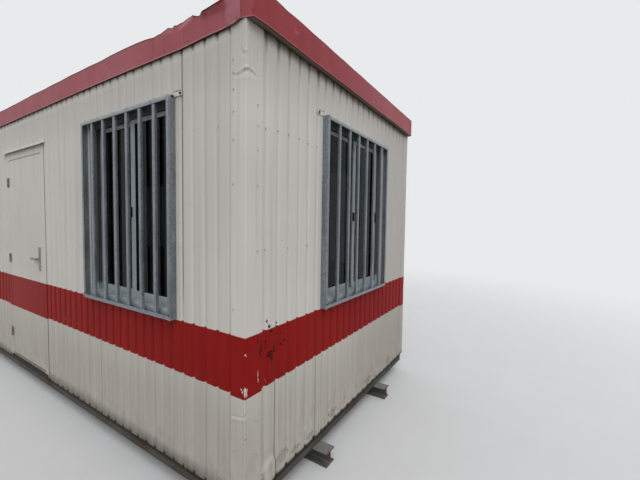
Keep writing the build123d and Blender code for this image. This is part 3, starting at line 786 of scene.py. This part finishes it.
for side, centres in WINDOWS.items():
    ending = "s_" + side if len(centres) > 1 else "_" + side
    frames, sashes, seals, panes, catches, sills = [], [], [], [], [], []
    for centre in centres:
        frames.append(mitred_ring(side, centre, (SILL + HEAD) / 2, 0.5, 0.6175, frame_profile))
        for shift, half_wide, depth in ((0.2315, 0.2385, 0.033), (-0.223, 0.247, 0.052)):
            middle = centre + shift
            sunk = sash_profile + np.array([0, 0, depth])
            sashes.append(mitred_ring(side, middle, SASH_MIDDLE, half_wide, SASH_HALF_HEIGHT, sunk))
            rail = (depth - 0.0008, 1.1585, half_wide - 0.002, 0.012, 0.0225, 0.001)
            sashes.append(plate(side, middle, *rail))
            round_glass = seal_profile + np.array([0, 0, depth])
            seals.append(mitred_ring(side, middle, SASH_MIDDLE, half_wide - 0.0475, 0.5655, round_glass))
            behind = depth + 0.0064
            panes.append(plate(side, middle, behind, SASH_MIDDLE, half_wide - 0.0455, 0.004, 0.5675, 0.001))
        # A black strip 41 mm wide between the sashes: a brush seal, widened to stand for the shade in the
        # sashes' interlock.
        brush_and_shade_strip = mm((-20, 52), (-20, 49.6), (21, 49.6), (21, 52)) + np.array([centre, 0])
        seals.append(post(side, brush_and_shade_strip, 1.165, 2.315))
        # A strip over the frame head, which the aluminium finish paints dark as shade.
        sashes.append(plate(side, centre, -0.0034, 2.376, 0.512, 0.0022, 0.0105, 0.0006))
        sills.append(strip(side, sill_profile, centre - 0.520, centre + 0.520))
        catches.append(plate(side, centre, 0.0235, 1.72, 0.008, 0.0095, 0.035, 0.003))
        catches.append(plate(side, centre + 0.449, 0.0290, 1.72, 0.007, 0.0045, 0.045, 0.003))
    in_slot = (aluminium, "window_aluminium")
    surround = piece_of("window_surround" + ending, frames, *in_slot, 25.0, ["window_frame" + ending])
    # Each profile point's depth into the frame, kept for the painted shade in its recesses.
    painted_frame_shade = np.clip((frame_profile[:, 2] - 0.004) / 0.012, 0.0, 1.0)
    tag(surround.data, "recess", np.tile(painted_frame_shade, 4 * len(centres)))
    piece_of("sliding_sashes" + ending, sashes, *in_slot, 25.0, ["window_sash_pair" + ending])
    piece_of("glazing_seals" + ending, seals, seal_rubber, "window_aluminium")
    piece_of("sash_catches" + ending, catches, seal_rubber, "window_aluminium")
    piece_of("sill_drips" + ending, sills, *in_slot)
    in_slot = (window_glass, "window_glass")
    piece_of("glass_panes" + ending, panes, *in_slot, 20.0, ["window_pane_pair" + ending])


# Window grilles: a frame of 45 x 25 mm angle with upright bars welded behind its front leg,
# hot-dip galvanised to a dull spangle. Two lugs, painted white, bolt it to the wall.
def weld_bead(side, start, end, radius):
    """A tube along a line from start to end (across, depth, height) whose radius ripples as
    r (1 + 0.18 sin(2 pi n t)) and closes at both ends as sqrt(sin(pi t))."""
    start, end = np.array(start), np.array(end)
    run = np.linalg.norm(end - start)
    t = np.linspace(0.0, 1.0, max(int(run / 0.0022), 6))
    swell = radius * (1 + 0.18 * np.sin(6.283 * t * run / 0.0045))
    swell *= np.sqrt(np.sin(np.pi * np.clip(t, 0.02, 0.98)))
    ahead = (end - start) / run
    aside = np.cross(ahead, [0.31, 0.87, 0.38])
    aside /= np.linalg.norm(aside)
    above = np.cross(ahead, aside)
    turn = np.radians(np.arange(6) * 60.0)
    around = np.cos(turn)[:, None] * aside + np.sin(turn)[:, None] * above
    points = start + t[:, None, None] * (end - start) + swell[:, None, None] * around[None]
    return capped(on_wall(side, *np.moveaxis(points, -1, 0)))


def galvanised_finish():
    coat = Finish("galvanised steel", (122, 129, 134), 0.45)
    flake = coat.spangle(95.0)
    streaks = coat.cloud(3.0, (6, 6, 1.2), 5.0)
    coat.paint((142, 150, 157), coat.ramp(flake, 0.0, 1.0))
    coat.paint((96, 103, 106), coat.ramp(streaks, 0.42, 0.7), 0.55)
    # The top rail, and half as much the bottom rail, are paler.
    paler_rails = coat.most(coat.ramp(coat.z, 2.358, 2.376), coat.times(coat.ramp(coat.z, 1.100, 1.080), 0.5))
    coat.paint((186, 187, 184), paler_rails, coat.ramp(streaks, 0.25, 0.6), 0.7)
    white_rust = coat.ramp(coat.cloud(26.0, (1, 1, 0.5), 4.0), 0.62, 0.72)
    coat.paint((172, 176, 178), white_rust, 0.4)
    roughness = coat.sum(0.42, coat.times(flake, 0.08), coat.times(white_rust, 0.2))
    return coat.done(roughness, coat.sum(coat.times(flake, 0.2), streaks), 0.0004)


galvanised = galvanised_finish()
lug_whites = (228, 225, 217), (186, 182, 172)
lug_paint = mottled("white lug paint", *lug_whites, (60.0, EVEN, 4.0), (0.45, 0.7), (0.45, 0.2), 0.0004)
bolt_browns = (30, 29, 29), (60, 48, 40)
bolt_steel = mottled(
    "blackened bolt steel", *bolt_browns, (120.0, EVEN, 3.0), (0.4, 0.65), (0.5, 0.25), 0.0004, 0.3
)
GRILLE_BOTTOM, GRILLE_TOP = 1.070, 2.389
GRILLE_HALF_WIDTH, GRILLE_HALF_HEIGHT = 0.546, 0.653
BAR_PITCH = 0.155
ANGLE = ((25, -45), (0, -45), (0, -0.5), (4, -0.5), (4, -41), (25, -41))
angle_profile = even_inset(eased(mm(*ANGLE), 0.0016))
bar_profile = eased(mm((-12.5, -41.2), (12.5, -41.2), (12.5, -22), (-12.5, -22)), 0.0022)
chance = np.random.default_rng(7)
for side, centres in WINDOWS.items():
    ending = "s_" + side if len(centres) > 1 else "_" + side
    steel, bolts, lugs = [], [], []
    middle = (GRILLE_BOTTOM + GRILLE_TOP) / 2
    seen = side == "right_end"
    for centre in centres:
        hung = centre + (0.009 if seen else 0.0)
        first_bar = centre + (0.025 if seen else 0.0) - 2.5 * BAR_PITCH
        steel.append(mitred_ring(side, hung, middle, GRILLE_HALF_WIDTH, GRILLE_HALF_HEIGHT, angle_profile))
        for number in range(6):
            bar = first_bar + number * BAR_PITCH + (0.0 if seen else chance.uniform(-0.003, 0.003))
            outline = bar_profile + np.array([bar, 0])
            steel.append(post(side, outline, GRILLE_BOTTOM + 0.0035, GRILLE_TOP - 0.0035))
            left, right = bar - 0.0135, bar + 0.014
            for level in (GRILLE_BOTTOM + 0.0045, GRILLE_TOP - 0.0045):
                steel.append(weld_bead(side, (bar - 0.014, -0.022, level), (right, -0.022, level), 0.0028))
                steel.append(weld_bead(side, (left, -0.040, level), (left, -0.022, level), 0.0026))
        for sign in (-1, 1):
            for edge, inwards in ((GRILLE_BOTTOM, 1), (GRILLE_TOP, -1)):
                start = (hung + sign * 0.5455, -0.0448, edge + inwards * 0.0005)
                end = (hung + sign * 0.5225, -0.0448, edge + inwards * 0.0235)
                steel.append(weld_bead(side, start, end, 0.0016))
            foot, head = [(hung + sign * 0.547, -0.0055, level) for level in (2.374, 2.388)]
            steel.append(weld_bead(side, foot, head, 0.0030))
            lugs.append(plate(side, hung + sign * 0.577, -0.0052, 2.392, 0.0315, 0.0050, 0.014, 0.004))
            bolts.append(plate(side, hung + sign * 0.573, -0.0060, 2.4068, 0.028, 0.0058, 0.0020, 0.0008))
            bolts.append(screw_heads(side, hung + sign * 0.599, -0.0052, 2.391, 0.0095))
            bolts.append(screw_heads(side, hung + sign * 0.532, -0.0452, 1.107, 0.0055))
            if not seen:
                bolts.append(plate(side, hung + sign * 0.548, -0.027, 2.379, 0.003, 0.014, 0.007, 0.002))
    piece_of("barred_grille" + ending, steel, galvanised, "grille_steel", 35.0, ["window_grille" + ending])
    piece_of("grille_bolts" + ending, bolts, bolt_steel, "grille_steel")
    piece_of("grille_lugs" + ending, lugs, lug_paint, "grille_steel")


# Door: a flush steel leaf in a folded steel frame, painted with the wall, on three knuckled
# hinges. It closes on a rubber seal over an aluminium threshold, under a folded drip strip.
door_paint = wall_coat("cream door paint", True)
eased_copy("door_surround", "door_frame", door_paint, 0.0012)
eased_copy("door_panel", "door_leaf", door_paint, 0.003)


def fitting_finish(name, colour, worn, metallic):
    """Rubbed bare metal, worn in upright streaks."""
    return mottled(name, colour, worn, (30.0, (1, 1, 0.4), 5.0), (0.4, 0.7), (0.35, 0.3), 0.0002, metallic)


satin = fitting_finish("satin door fittings", (150, 150, 148), (118, 117, 113), 0.7)
eased_copy("hinge_knuckles", "door_hinges", satin, 0.0008)
eased_copy("lever_handles", "door_handle", satin, 0.0018)
sill_metal = fitting_finish("scuffed sill plate", (138, 137, 132), (98, 94, 87), 0.5)
eased_copy("threshold_plate", "door_threshold", sill_metal, 0.0015)

SEAL = even_inset(mm((0, 0), (-2.5, 0), (-2.5, 10), (0, 10)))
LEAF_MIDDLE, LEAF_HALF_WIDTH = 1.2565, 0.4285
door_seal = mitred_ring("front", 0.0, LEAF_MIDDLE, LEAF_HALF_WIDTH, 1.0065, SEAL)
piece_of("door_seal", [door_seal], seal_rubber, "door_paint")
leaf_screws = []
for level in (0.490, LEAF_MIDDLE, 2.023):
    for step in (-0.030, 0.0, 0.030):
        for shift in (-0.020, 0.020):
            leaf_screws.append(screw_heads("front", shift - LEAF_HALF_WIDTH, -0.0050, level + step, 0.0040))
piece_of("hinge_screws", leaf_screws, satin, "door_fittings")
DRIP_UNDERSIDE = ((-1.2, 2372), (-1.2, 2346), (-26, 2338), (-26, 2331))
DRIP_TOP = ((-27.2, 2331), (-27.2, 2339.2), (-2.4, 2347.2), (-2.4, 2372))
drip_strip = strip("front", eased(mm(*DRIP_UNDERSIDE, *DRIP_TOP), 0.0008), -0.525, 0.525)
piece_of("door_drip_strip", [drip_strip], door_paint, "door_paint")


# Roof: an insulated panel with a ceiling board below, and ribbed zinc-coated sheets on top that
# fall to both sides from a folded ridge strip. The panel stops short of the folded trim.
def block(low, high):
    """A box as a ring of four upright corners, closed below and above."""
    x = np.array([low[0], high[0], high[0], low[0]])
    y = np.array([low[1], low[1], high[1], high[1]])
    return capped(np.stack(np.broadcast_arrays(x, y, [[low[2]], [high[2]]]), axis=-1))


def zinc_finish():
    coat = Finish("weathered zinc roof", (150, 153, 153), 0.4)
    flake = coat.spangle(60.0)
    stains = coat.cloud(1.4, (1.0, 2.5, 1), 5.0)
    moss = coat.cloud(5.0, detail=6.0)
    coat.paint((164, 167, 167), coat.ramp(flake, 0.0, 1.0))
    coat.paint((120, 116, 106), coat.ramp(stains, 0.4, 0.7), 0.5)
    coat.paint((118, 78, 52), coat.ramp(moss, 0.60, 0.70), coat.ramp(stains, 0.45, 0.6), 0.7)
    return coat.done(coat.sum(0.45, coat.times(stains, 0.25)), coat.sum(coat.times(flake, 0.2), moss), 0.0006)


ceiling_board = board_finish("ceiling board", (92, 72, 54), (116, 92, 68), (1, 14, 14), 0.45)
roof_panel = [
    block((-2.995, -1.212, 2.6555), (2.995, 1.212, 2.7895)),
    block((-2.995, -1.205, 2.7895), (-2.984, 1.205, 2.8140)),
    block((2.984, -1.205, 2.7895), (2.995, 1.205, 2.8140)),
]
piece_of("roof_panel_board", roof_panel, ceiling_board, "roof_panel", 30.0, ["roof_core"])
zinc = zinc_finish()
RIDGE = 2.8245
slope = math.atan2(0.030, 1.152)
rib = (np.arange(23) - 11) * 0.25
rib_steps = np.array([-0.040, -0.0205, -0.0185, 0.0185, 0.0205, 0.040])
across = np.concatenate([[-2.978], (rib[:, None] + rib_steps).ravel(), [2.978]])
lift = np.concatenate([[0.0], np.tile([0.0, 0.0343, 0.035, 0.035, 0.0343, 0.0], 23), [0.0]])
run = np.linspace(0.006, 1.173, 13)[:, None]
sheets = []
for sign in (-1, 1):
    y = sign * (run * math.cos(slope) + lift * math.sin(slope))
    z = RIDGE - run * math.sin(slope) + lift * math.cos(slope) + 0.0004 * np.sin(9 * across + 7 * run)
    sheets.append(grid(np.stack([across + 0 * run, y, z], axis=-1)[:, ::sign]))
thicken(piece_of("roof_zinc_sheets", sheets, zinc, "roof_steel", 25.0, ["roof_sheets"]), 0.0010, 1.0)
eased_copy("ridge_strip", "ridge_cap", zinc, 0.0004)


# Roof trim: red coated sheet folded into a lip, a face and a top flange, riveted at the cut
# corners. The paint has chalked to pink, and the front run has been knocked in along its top.
def plan_stations(corners, before, after, spacing):
    """Stations along a path in plan, seen from above anticlockwise. At each, the inward step that
    keeps every fold parallel to its run: the run's inward normal n, and (n1 + n2) / (1 + n1.n2)
    at a corner."""
    corners = np.array(corners, dtype=float)
    runs = np.diff(corners, axis=0)
    length = np.linalg.norm(runs, axis=1, keepdims=True)
    normals = np.column_stack([-runs[:, 1], runs[:, 0]]) / length
    sides = np.vstack([before, normals, after])
    steps = (sides[:-1] + sides[1:]) / (1.0 + (sides[:-1] * sides[1:]).sum(axis=1, keepdims=True))
    places, inward = [], []
    for start, run, span, normal, step in zip(corners, runs, length[:, 0], normals, steps):
        share = np.linspace(0.0, 1.0, max(int(span / spacing), 4), endpoint=False)[:, None]
        places.append(start + share * run)
        inward.append(np.where(share == 0.0, step, normal))
    return np.vstack(places + [corners[-1:]]), np.vstack(inward + [steps[-1:]])


def trim_mesh(name, corners, before, after, section, dents, spacing):
    """The folded section (inward, up) carried along the stations, then pushed: outwards by
    out(P, t) and up by rise(P, t), t from 0 at the lip to 1 at the top, both fading over the
    top flange as 1 - d / 50 mm. The edge number is high along the lower fold, for a painted
    highlight, and below zero under it and at the top fold, for painted shade."""
    places, inward = plan_stations(corners, before, after, spacing)
    fold_in, fold_up = np.array(section).T
    t = np.clip((fold_up - fold_up.min()) / np.ptp(fold_up), 0.0, 1.0)[:, None]
    out, rise = dents(places[None, :, 0], places[None, :, 1], t)
    on_flange = (t > 0.98) & (fold_in[:, None] > 0.004)
    keep = np.where(on_flange, np.clip(1.0 - fold_in[:, None] / 0.05, 0.0, 1.0), 1.0)
    length = np.linalg.norm(inward, axis=1, keepdims=True)
    pushed = (out * keep)[..., None] * (inward / length)[None]
    plan = places[None] + fold_in[:, None, None] * inward[None] - pushed
    height = fold_up[:, None] + rise * keep
    mesh = mesh_of(name, [grid(np.dstack([plan, height]))], 28.0)
    # bare holds no bare metal: it marks a painted highlight along the lower fold, and painted shade on the
    # lip and at the top fold.
    bare = np.exp(-np.clip(fold_up - fold_up.min() - 0.0005, 0.0, None) / 0.011)
    on_lip = (fold_in > 0.003) & (fold_up < fold_up.mean())
    bare = np.where(on_lip, np.where(fold_in < 0.010, -1.0, -0.45), bare)
    edge_reach = 0.006 if fold_in.max() > 0.1 else 0.002
    bare -= 1.1 * np.exp(-(fold_up.max() - fold_up) / edge_reach - fold_in / 0.003)
    bare = bare[:, None] + 0 * places[None, :, 0]
    tag(mesh, "edge", bare)
    return mesh


def folded_section(lip, bottom, top, flange, steps):
    """Lip, a bend of 2 mm, the face, a bend of 3 mm and the flange, as (inward, up)."""
    face = [(0.0, bottom + 0.003), (0.0, bottom + 0.006)]
    face += [(0.0, z) for z in np.linspace(bottom + 0.012, top - 0.004, steps)]
    wing = [(d, top) for d in np.linspace(0.004, flange, 6)]
    foot = [(lip, bottom)] + [(d, bottom) for d in (0.0160, 0.0125) if d < lip]
    foot += [(0.0070, bottom), (0.0040, bottom), (0.0020, bottom), (0.0006, bottom + 0.0006)]
    return foot + face + [(0.0, top - 0.0020), (0.0011, top - 0.0008)] + wing


def bell(value, centre, width):
    """1 at the centre, e^(-((value - centre) / width)^2) away from it."""
    return np.exp(-(((value - centre) / width) ** 2))


def fold(value, start, end):
    """0 up to start, 1 from end on and a straight line between, for a crease at either."""
    return np.clip((value - start) / (end - start), 0.0, 1.0)


def along_table(x, *rows):
    """Straight lines between the rows of a table, each a place and its value in mm."""
    place, value = mm(*rows).T
    return np.interp(x, place, value)


def knocked_in(x, y, t):
    """The front run: its lip sags between the rivets, its top edge is beaten down in places, and a
    leaning facet starts at a crease near the corner, where the end flares over the other trim."""
    sag = along_table(
        x, (-2900, 0), (1200, -2), (1800, -6), (2309, -12), (2501, -15), (2590, -12.5), (2673, -8.5),
        (2780, -7), (2830, -7.5), (2920, -5), (2945, 0), (2972, 13),
    )
    drop = along_table(
        x, (1200, 0), (1600, -6), (1900, -4), (2150, -16), (2309, -26), (2367, -4), (2427, -22),
        (2464, -26), (2486, -12), (2543, -2), (2590, 2), (2604, -8), (2620, -22), (2657, -33),
        (2677, -34), (2708, -35), (2747, -34), (2780, -31), (2825, -27), (2870, -22), (2885, 1), (2976, -2),
    )
    rise = sag * (1 - t) ** 2 + drop * t**1.5
    crease = 0.76 - 0.13 * fold(x, 2.70, 2.87)
    lean = 0.020 * fold(x, 2.672, 2.712) * fold(x, 2.892, 2.876) * fold(t, crease, 1.0)
    flare = 0.0030 * fold(x, 2.866, 2.884) * fold(x, 2.972, 2.945)
    flare = flare - 0.010 * fold(x, 2.874, 2.890) * fold(t, 0.35, 1.0)
    sloped = 0.62 + 0.20 * fold(x, 2.49, 2.60)
    knocked = -0.017 * fold(x, 2.455, 2.500) * fold(x, 2.612, 2.590) * fold(t, sloped, 1.0)
    knocked -= 0.012 * fold(x, 2.30, 2.36) * fold(x, 2.45, 2.41) * fold(t, 0.70, 1.0)
    knocked += 0.006 * bell(x, 2.455, 0.012) * t**2 + 0.005 * bell(x, 2.62, 0.014) * t**2
    far = 0.004 * bell(x, 0.3, 0.10) * t - 0.005 * bell(x, -1.4, 0.06) * t**2 - 0.004 * bell(x, -2.3, 0.05)
    far -= 0.006 * bell(x, 2.23, 0.04) * t
    return lean + flare + knocked + far + 0.0010 * np.sin(19 * x) * t, rise


def gently_bent(seed):
    """A few shallow bells along a run, placed by a seeded draw."""
    draw = np.random.default_rng(seed)
    centres = draw.uniform(-2.6, 2.6, 7)
    depths = draw.uniform(-0.004, 0.003, 7)

    def dents(x, y, t):
        run = np.where(np.abs(x) > 2.98, y * 2.2, x)
        out = sum(deep * bell(run, centre, 0.07) for centre, deep in zip(centres, depths)) * t
        sag = 0.0015 * np.sin(3.1 * run + seed) - 0.005 * fold(np.abs(y), 1.15, 1.242)
        return out + 0.0008 * np.sin(11 * run + seed), sag * (1 - t) + 0 * out

    return dents


def trim_finish(name, faded, under, chalk=(), unfaded_and_shaded=()):
    """Red coating: chalky pink where the sky gets at it, a painted highlight along the lower fold,
    and painted shade under it and at the top fold, partly dirt under it. An end run is chalkier
    towards the back and on its cut corners."""
    coat = Finish(name, (154, 50, 56), gloss=0.25)
    broad = coat.cloud(2.2, detail=4.0)
    runs = coat.cloud(1.0, (24, 24, 2.0), 5.0)
    fine = coat.cloud(200.0, detail=2.0)
    coat.paint((160, 62, 68), coat.ramp(broad, 0.3, 0.7))
    lower_fold_highlight = 0.6
    if faded is None:
        lower_fold_highlight = 0.35
        backwards = coat.times(coat.ramp(coat.y, -1.0, 0.5), 0.5)
        on_cut = coat.times(coat.ramp(coat.size_of(coat.y), 1.2410, 1.2435), 0.30)
        faded = coat.sum(backwards, on_cut)
    coat.paint((180, 114, 124), coat.sum(0.25, broad), faded)
    coat.paint((128, 48, 52), coat.ramp(runs, 0.5, 0.75), 0.35)
    edge = coat.attribute("edge")
    # Along the lower fold: a painted highlight.
    coat.paint((206, 152, 152), coat.ramp(edge, 0.50, 0.80), lower_fold_highlight)
    # Under the lip: painted shade, partly dirt.
    coat.paint(under, coat.ramp(edge, -0.15, -0.40), 0.92)
    # On the lip and along the top fold: a dark line of painted shade.
    coat.paint((50, 32, 30), coat.ramp(edge, -0.50, -0.80), 0.85)
    coat.paint((182, 134, 140), coat.ramp(coat.cloud(14.0, (1, 1, 3.0), 5.0), 0.62, 0.72), 0.3)
    for centre, size in chalk:
        coat.paint((174, 122, 134), coat.mark(coat.spot, centre, size), 0.38)
    for centre, size in unfaded_and_shaded:
        coat.paint((130, 30, 36), coat.mark(coat.spot, centre, size), 0.8)
    roughness = coat.sum(0.42, coat.times(broad, 0.15), coat.times(fine, 0.1))
    return coat.done(roughness, coat.sum(coat.times(fine, 0.06), broad), 0.003, 0.3)


trim_red = trim_finish("faded red trim", None, (130, 121, 110))
chalked_red = trim_finish("chalked red trim", 0.55, (56, 40, 36))
# Pale pink on the front run: chalking, and painted highlight where the flared end and the knocked-in facets
# face up.
chalk_and_highlight_patches = [
    ((2.930, -1.265, 2.700), (0.060, 0.03, 0.400)),
    ((2.905, -1.265, 2.792), (0.040, 0.03, 0.030)),
    ((2.520, -1.263, 2.750), (0.050, 0.03, 0.016)),
    ((2.568, -1.263, 2.760), (0.040, 0.03, 0.014)),
]
# Dark red on the facet that leans out near the corner: unfaded paint, and painted shade where it faces down.
unfaded_and_shaded_patches = [
    ((2.745, -1.25, 2.780), (0.075, 0.05, 0.028)),
    ((2.830, -1.25, 2.775), (0.060, 0.05, 0.030)),
]
knocked_red = trim_finish("chalked front trim", 0.55, (56, 40, 36), chalk_and_highlight_patches, unfaded_and_shaded_patches)
TRIM_X, TRIM_Y, CORNER_X, CORNER_Y = 3.043, 1.263, 2.972, 1.242
end_section = folded_section(0.0405, 2.654, 2.816, 0.060, 14)
side_section = folded_section(0.0115, 2.642, 2.792, 0.110, 18)
end_path = [(CORNER_X, -TRIM_Y), (TRIM_X, -CORNER_Y), (TRIM_X, CORNER_Y), (CORNER_X, TRIM_Y)]
lap_x, lap_y = CORNER_X + 0.0015, 0.0004 - TRIM_Y
side_path = [(-lap_x, lap_y), (-CORNER_X, -TRIM_Y), (CORNER_X, -TRIM_Y), (lap_x, lap_y)]
end_run = (end_path, (0, 1), (0, -1), end_section)
cut_x, cut_y = 0.299, 0.954
side_run = (side_path, (cut_x, cut_y), (-cut_x, cut_y), side_section)
runs = (
    ("right_end", 1, end_run, gently_bent(3), trim_red),
    ("left_end", -1, end_run, gently_bent(5), trim_red),
    ("front", 1, side_run, knocked_in, knocked_red),
    ("back", -1, side_run, gently_bent(9), chalked_red),
)
for place, turned, (path, before, after, section), dents, coating in runs:
    path, before, after = [turned * np.array(values) for values in (path, before, after)]
    spacing = 0.012 if place == "front" else 0.03
    mesh = trim_mesh("roof_trim_" + place, path, before, after, section, dents, spacing)
    thicken(put_in_place("roof_trim_" + place, mesh, coating, ["fascia_" + place]), 0.0012)


# Trim rivets and roof screws: domed rivets pin the trim's cut corners, and screws with a washer
# hold the roof sheets down through their ribs.
def domes(places, outward, radius):
    """Flattened half-balls (cos a, 0.55 sin a) times the radius, round each outward axis, with
    rings at a = 0, 35 and 65 deg."""
    places = np.array(places, dtype=float)
    axis = np.array(outward, dtype=float)
    axis /= np.linalg.norm(axis, axis=1, keepdims=True)
    aside = np.cross([0.0, 0.0, 1.0], axis)
    aside /= np.linalg.norm(aside, axis=1, keepdims=True)
    above = np.cross(axis, aside)
    rise = np.radians([0.0, 35.0, 65.0])[:, None]
    turn = np.radians(np.arange(8) * 45.0)
    height = 0.55 * np.sin(rise) + 0 * turn
    shape = radius * np.dstack([np.cos(rise) * np.cos(turn), np.cos(rise) * np.sin(turn), height])
    return [capped(spot + shape @ np.array(axes)) for spot, *axes in zip(places, aside, above, axis)]


rivets, rivet_axes = [], []
for sign_x in (-1, 1):
    for sign_y in (-1, 1):
        for share, level in ((0.90, 2.681), (0.97, 2.668)):
            x = CORNER_X + share * (TRIM_X - CORNER_X)
            y = TRIM_Y - share * (TRIM_Y - CORNER_Y)
            rivets.append((sign_x * x, sign_y * y, level))
            rivet_axes.append((sign_x * 0.30, sign_y * cut_y, 0.0))
near_rivets = ((2882, 2645.5), (2952, 2654), (2569, 2652), (1620, 2656))
far_rivets = ((600, 2658), (-550, 2656), (-1700, 2657), (-2750, 2656))
for x, level in mm(*near_rivets, *far_rivets):
    rivets.append((x, -0.0045 - TRIM_Y if x > 2.7 else -TRIM_Y, level))
    rivet_axes.append((0.0, -1.0, 0.0))
for along, level in ((-0.408, 2.671), (-0.332, 2.668), (0.290, 2.672), (0.905, 2.670)):
    for sign in (-1, 1):
        rivets.append((sign * TRIM_X, sign * along, level))
        rivet_axes.append((sign * 1.0, 0.0, 0.0))
rivet_steel = fitting_finish("dull rivet heads", (96, 50, 52), (70, 52, 50), 0.3)
piece_of("trim_rivets", domes(rivets, rivet_axes, 0.0040), rivet_steel, "trim_red", 40.0)

rib_x, run = [values.ravel() for values in np.meshgrid(rib, [0.16, 0.50, 0.84, 1.13])]
rib_top = RIDGE + 0.0362 - run * math.tan(slope)
turn = np.radians(np.arange(10) * 36.0)
size, rise = mm((8.5, 0), (8.5, 1), (4.8, 1.6), (4.5, 5.5), (3.6, 6.2)).T[..., None]
screw = np.stack(np.broadcast_arrays(size * np.cos(turn), size * np.sin(turn), rise), axis=-1)
roof_screws = [studs(screw, np.column_stack([rib_x, sign * run, rib_top])) for sign in (-1, 1)]
piece_of("roof_screws", roof_screws, satin, "roof_steel")


# The floor and the light: a pale floor that fades into the backdrop, under a soft overcast dome
# with one broad lamp.
backdrop = srgb(232, 234, 236)
turn = np.radians(np.arange(72) * 5.0)
reach = np.array([45.0, 20.0, 12.0, 8.0, 5.0, 2.5, 0.5])[:, None]
disc = np.stack([reach * np.cos(turn), reach * np.sin(turn), 0 * reach * turn], axis=-1)
ground_mesh = mesh_of("studio_floor", [studs(disc, np.zeros((1, 3)))])
ground = Finish("studio floor", (142, 136, 128))


def seen_ray(tree):
    """1 for a ray that shows a thing, directly, mirrored or through glass; 0 for one that lights."""
    rays = tree.nodes.new("ShaderNodeLightPath").outputs
    direct, through, mirrored = (rays["Is " + kind + " Ray"] for kind in ("Camera", "Transmission", "Glossy"))
    shown = add_node(tree, "Math", {0: direct, 1: through}, operation="MAXIMUM")
    return add_node(tree, "Math", {0: shown, 1: mirrored}, operation="MAXIMUM")


shows = seen_ray(ground.tree)
from_middle = ground.node("VectorMath", {0: ground.spot}, "Value", operation="LENGTH")
fade = ground.times(ground.ramp(from_middle, 4.5, 11.0), shows)
glow = ground.node("Emission", {"Color": backdrop, "Strength": 1.0})
speck = ground.cloud(3.0, detail=3.0)
ground.paint(ground.layer(speck, srgb(214, 214, 212), srgb(208, 208, 206)), shows)
ground.done(0.9)
both = ground.node("MixShader", {0: fade, 1: ground.shader.outputs[0], 2: glow})
ground.tree.links.new(both, ground.tree.nodes["Material Output"].inputs["Surface"])
ground_mesh.materials.append(ground.material)
studio_floor = bpy.data.objects.new("studio_floor", ground_mesh)
bpy.context.scene.collection.objects.link(studio_floor)

sky = bpy.data.worlds.new("overcast dome")
sky.use_nodes = True
tree = sky.node_tree
direction = add_node(tree, "TexCoord", {}, "Generated")
up = add_node(tree, "SeparateXYZ", {0: direction}, "Z")
brightening = {"From Min": -0.1, "From Max": 0.9, "To Min": 0.42, "To Max": 0.95}
dome = add_node(tree, "MapRange", {"Value": up, **brightening})
shows = seen_ray(tree)
strength = add_node(tree, "Mix", {0: shows, 2: dome, 3: 1.0}, data_type="FLOAT")
colour = add_node(tree, "Mix", {0: shows, 6: srgb(246, 249, 255), 7: backdrop}, 2, data_type="RGBA")
background = tree.nodes["Background"]
tree.links.new(colour, background.inputs["Color"])
tree.links.new(strength, background.inputs["Strength"])
bpy.context.scene.world = sky

lamp = bpy.data.lights.new("broad lamp", "SUN")
lamp.energy = 1.1
lamp.angle = math.radians(50)
lamp_object = bpy.data.objects.new("broad lamp", lamp)
lamp_object.rotation_euler = Vector((0.62, -0.62, 1.0)).to_track_quat("Z", "Y").to_euler()
bpy.context.scene.collection.objects.link(lamp_object)
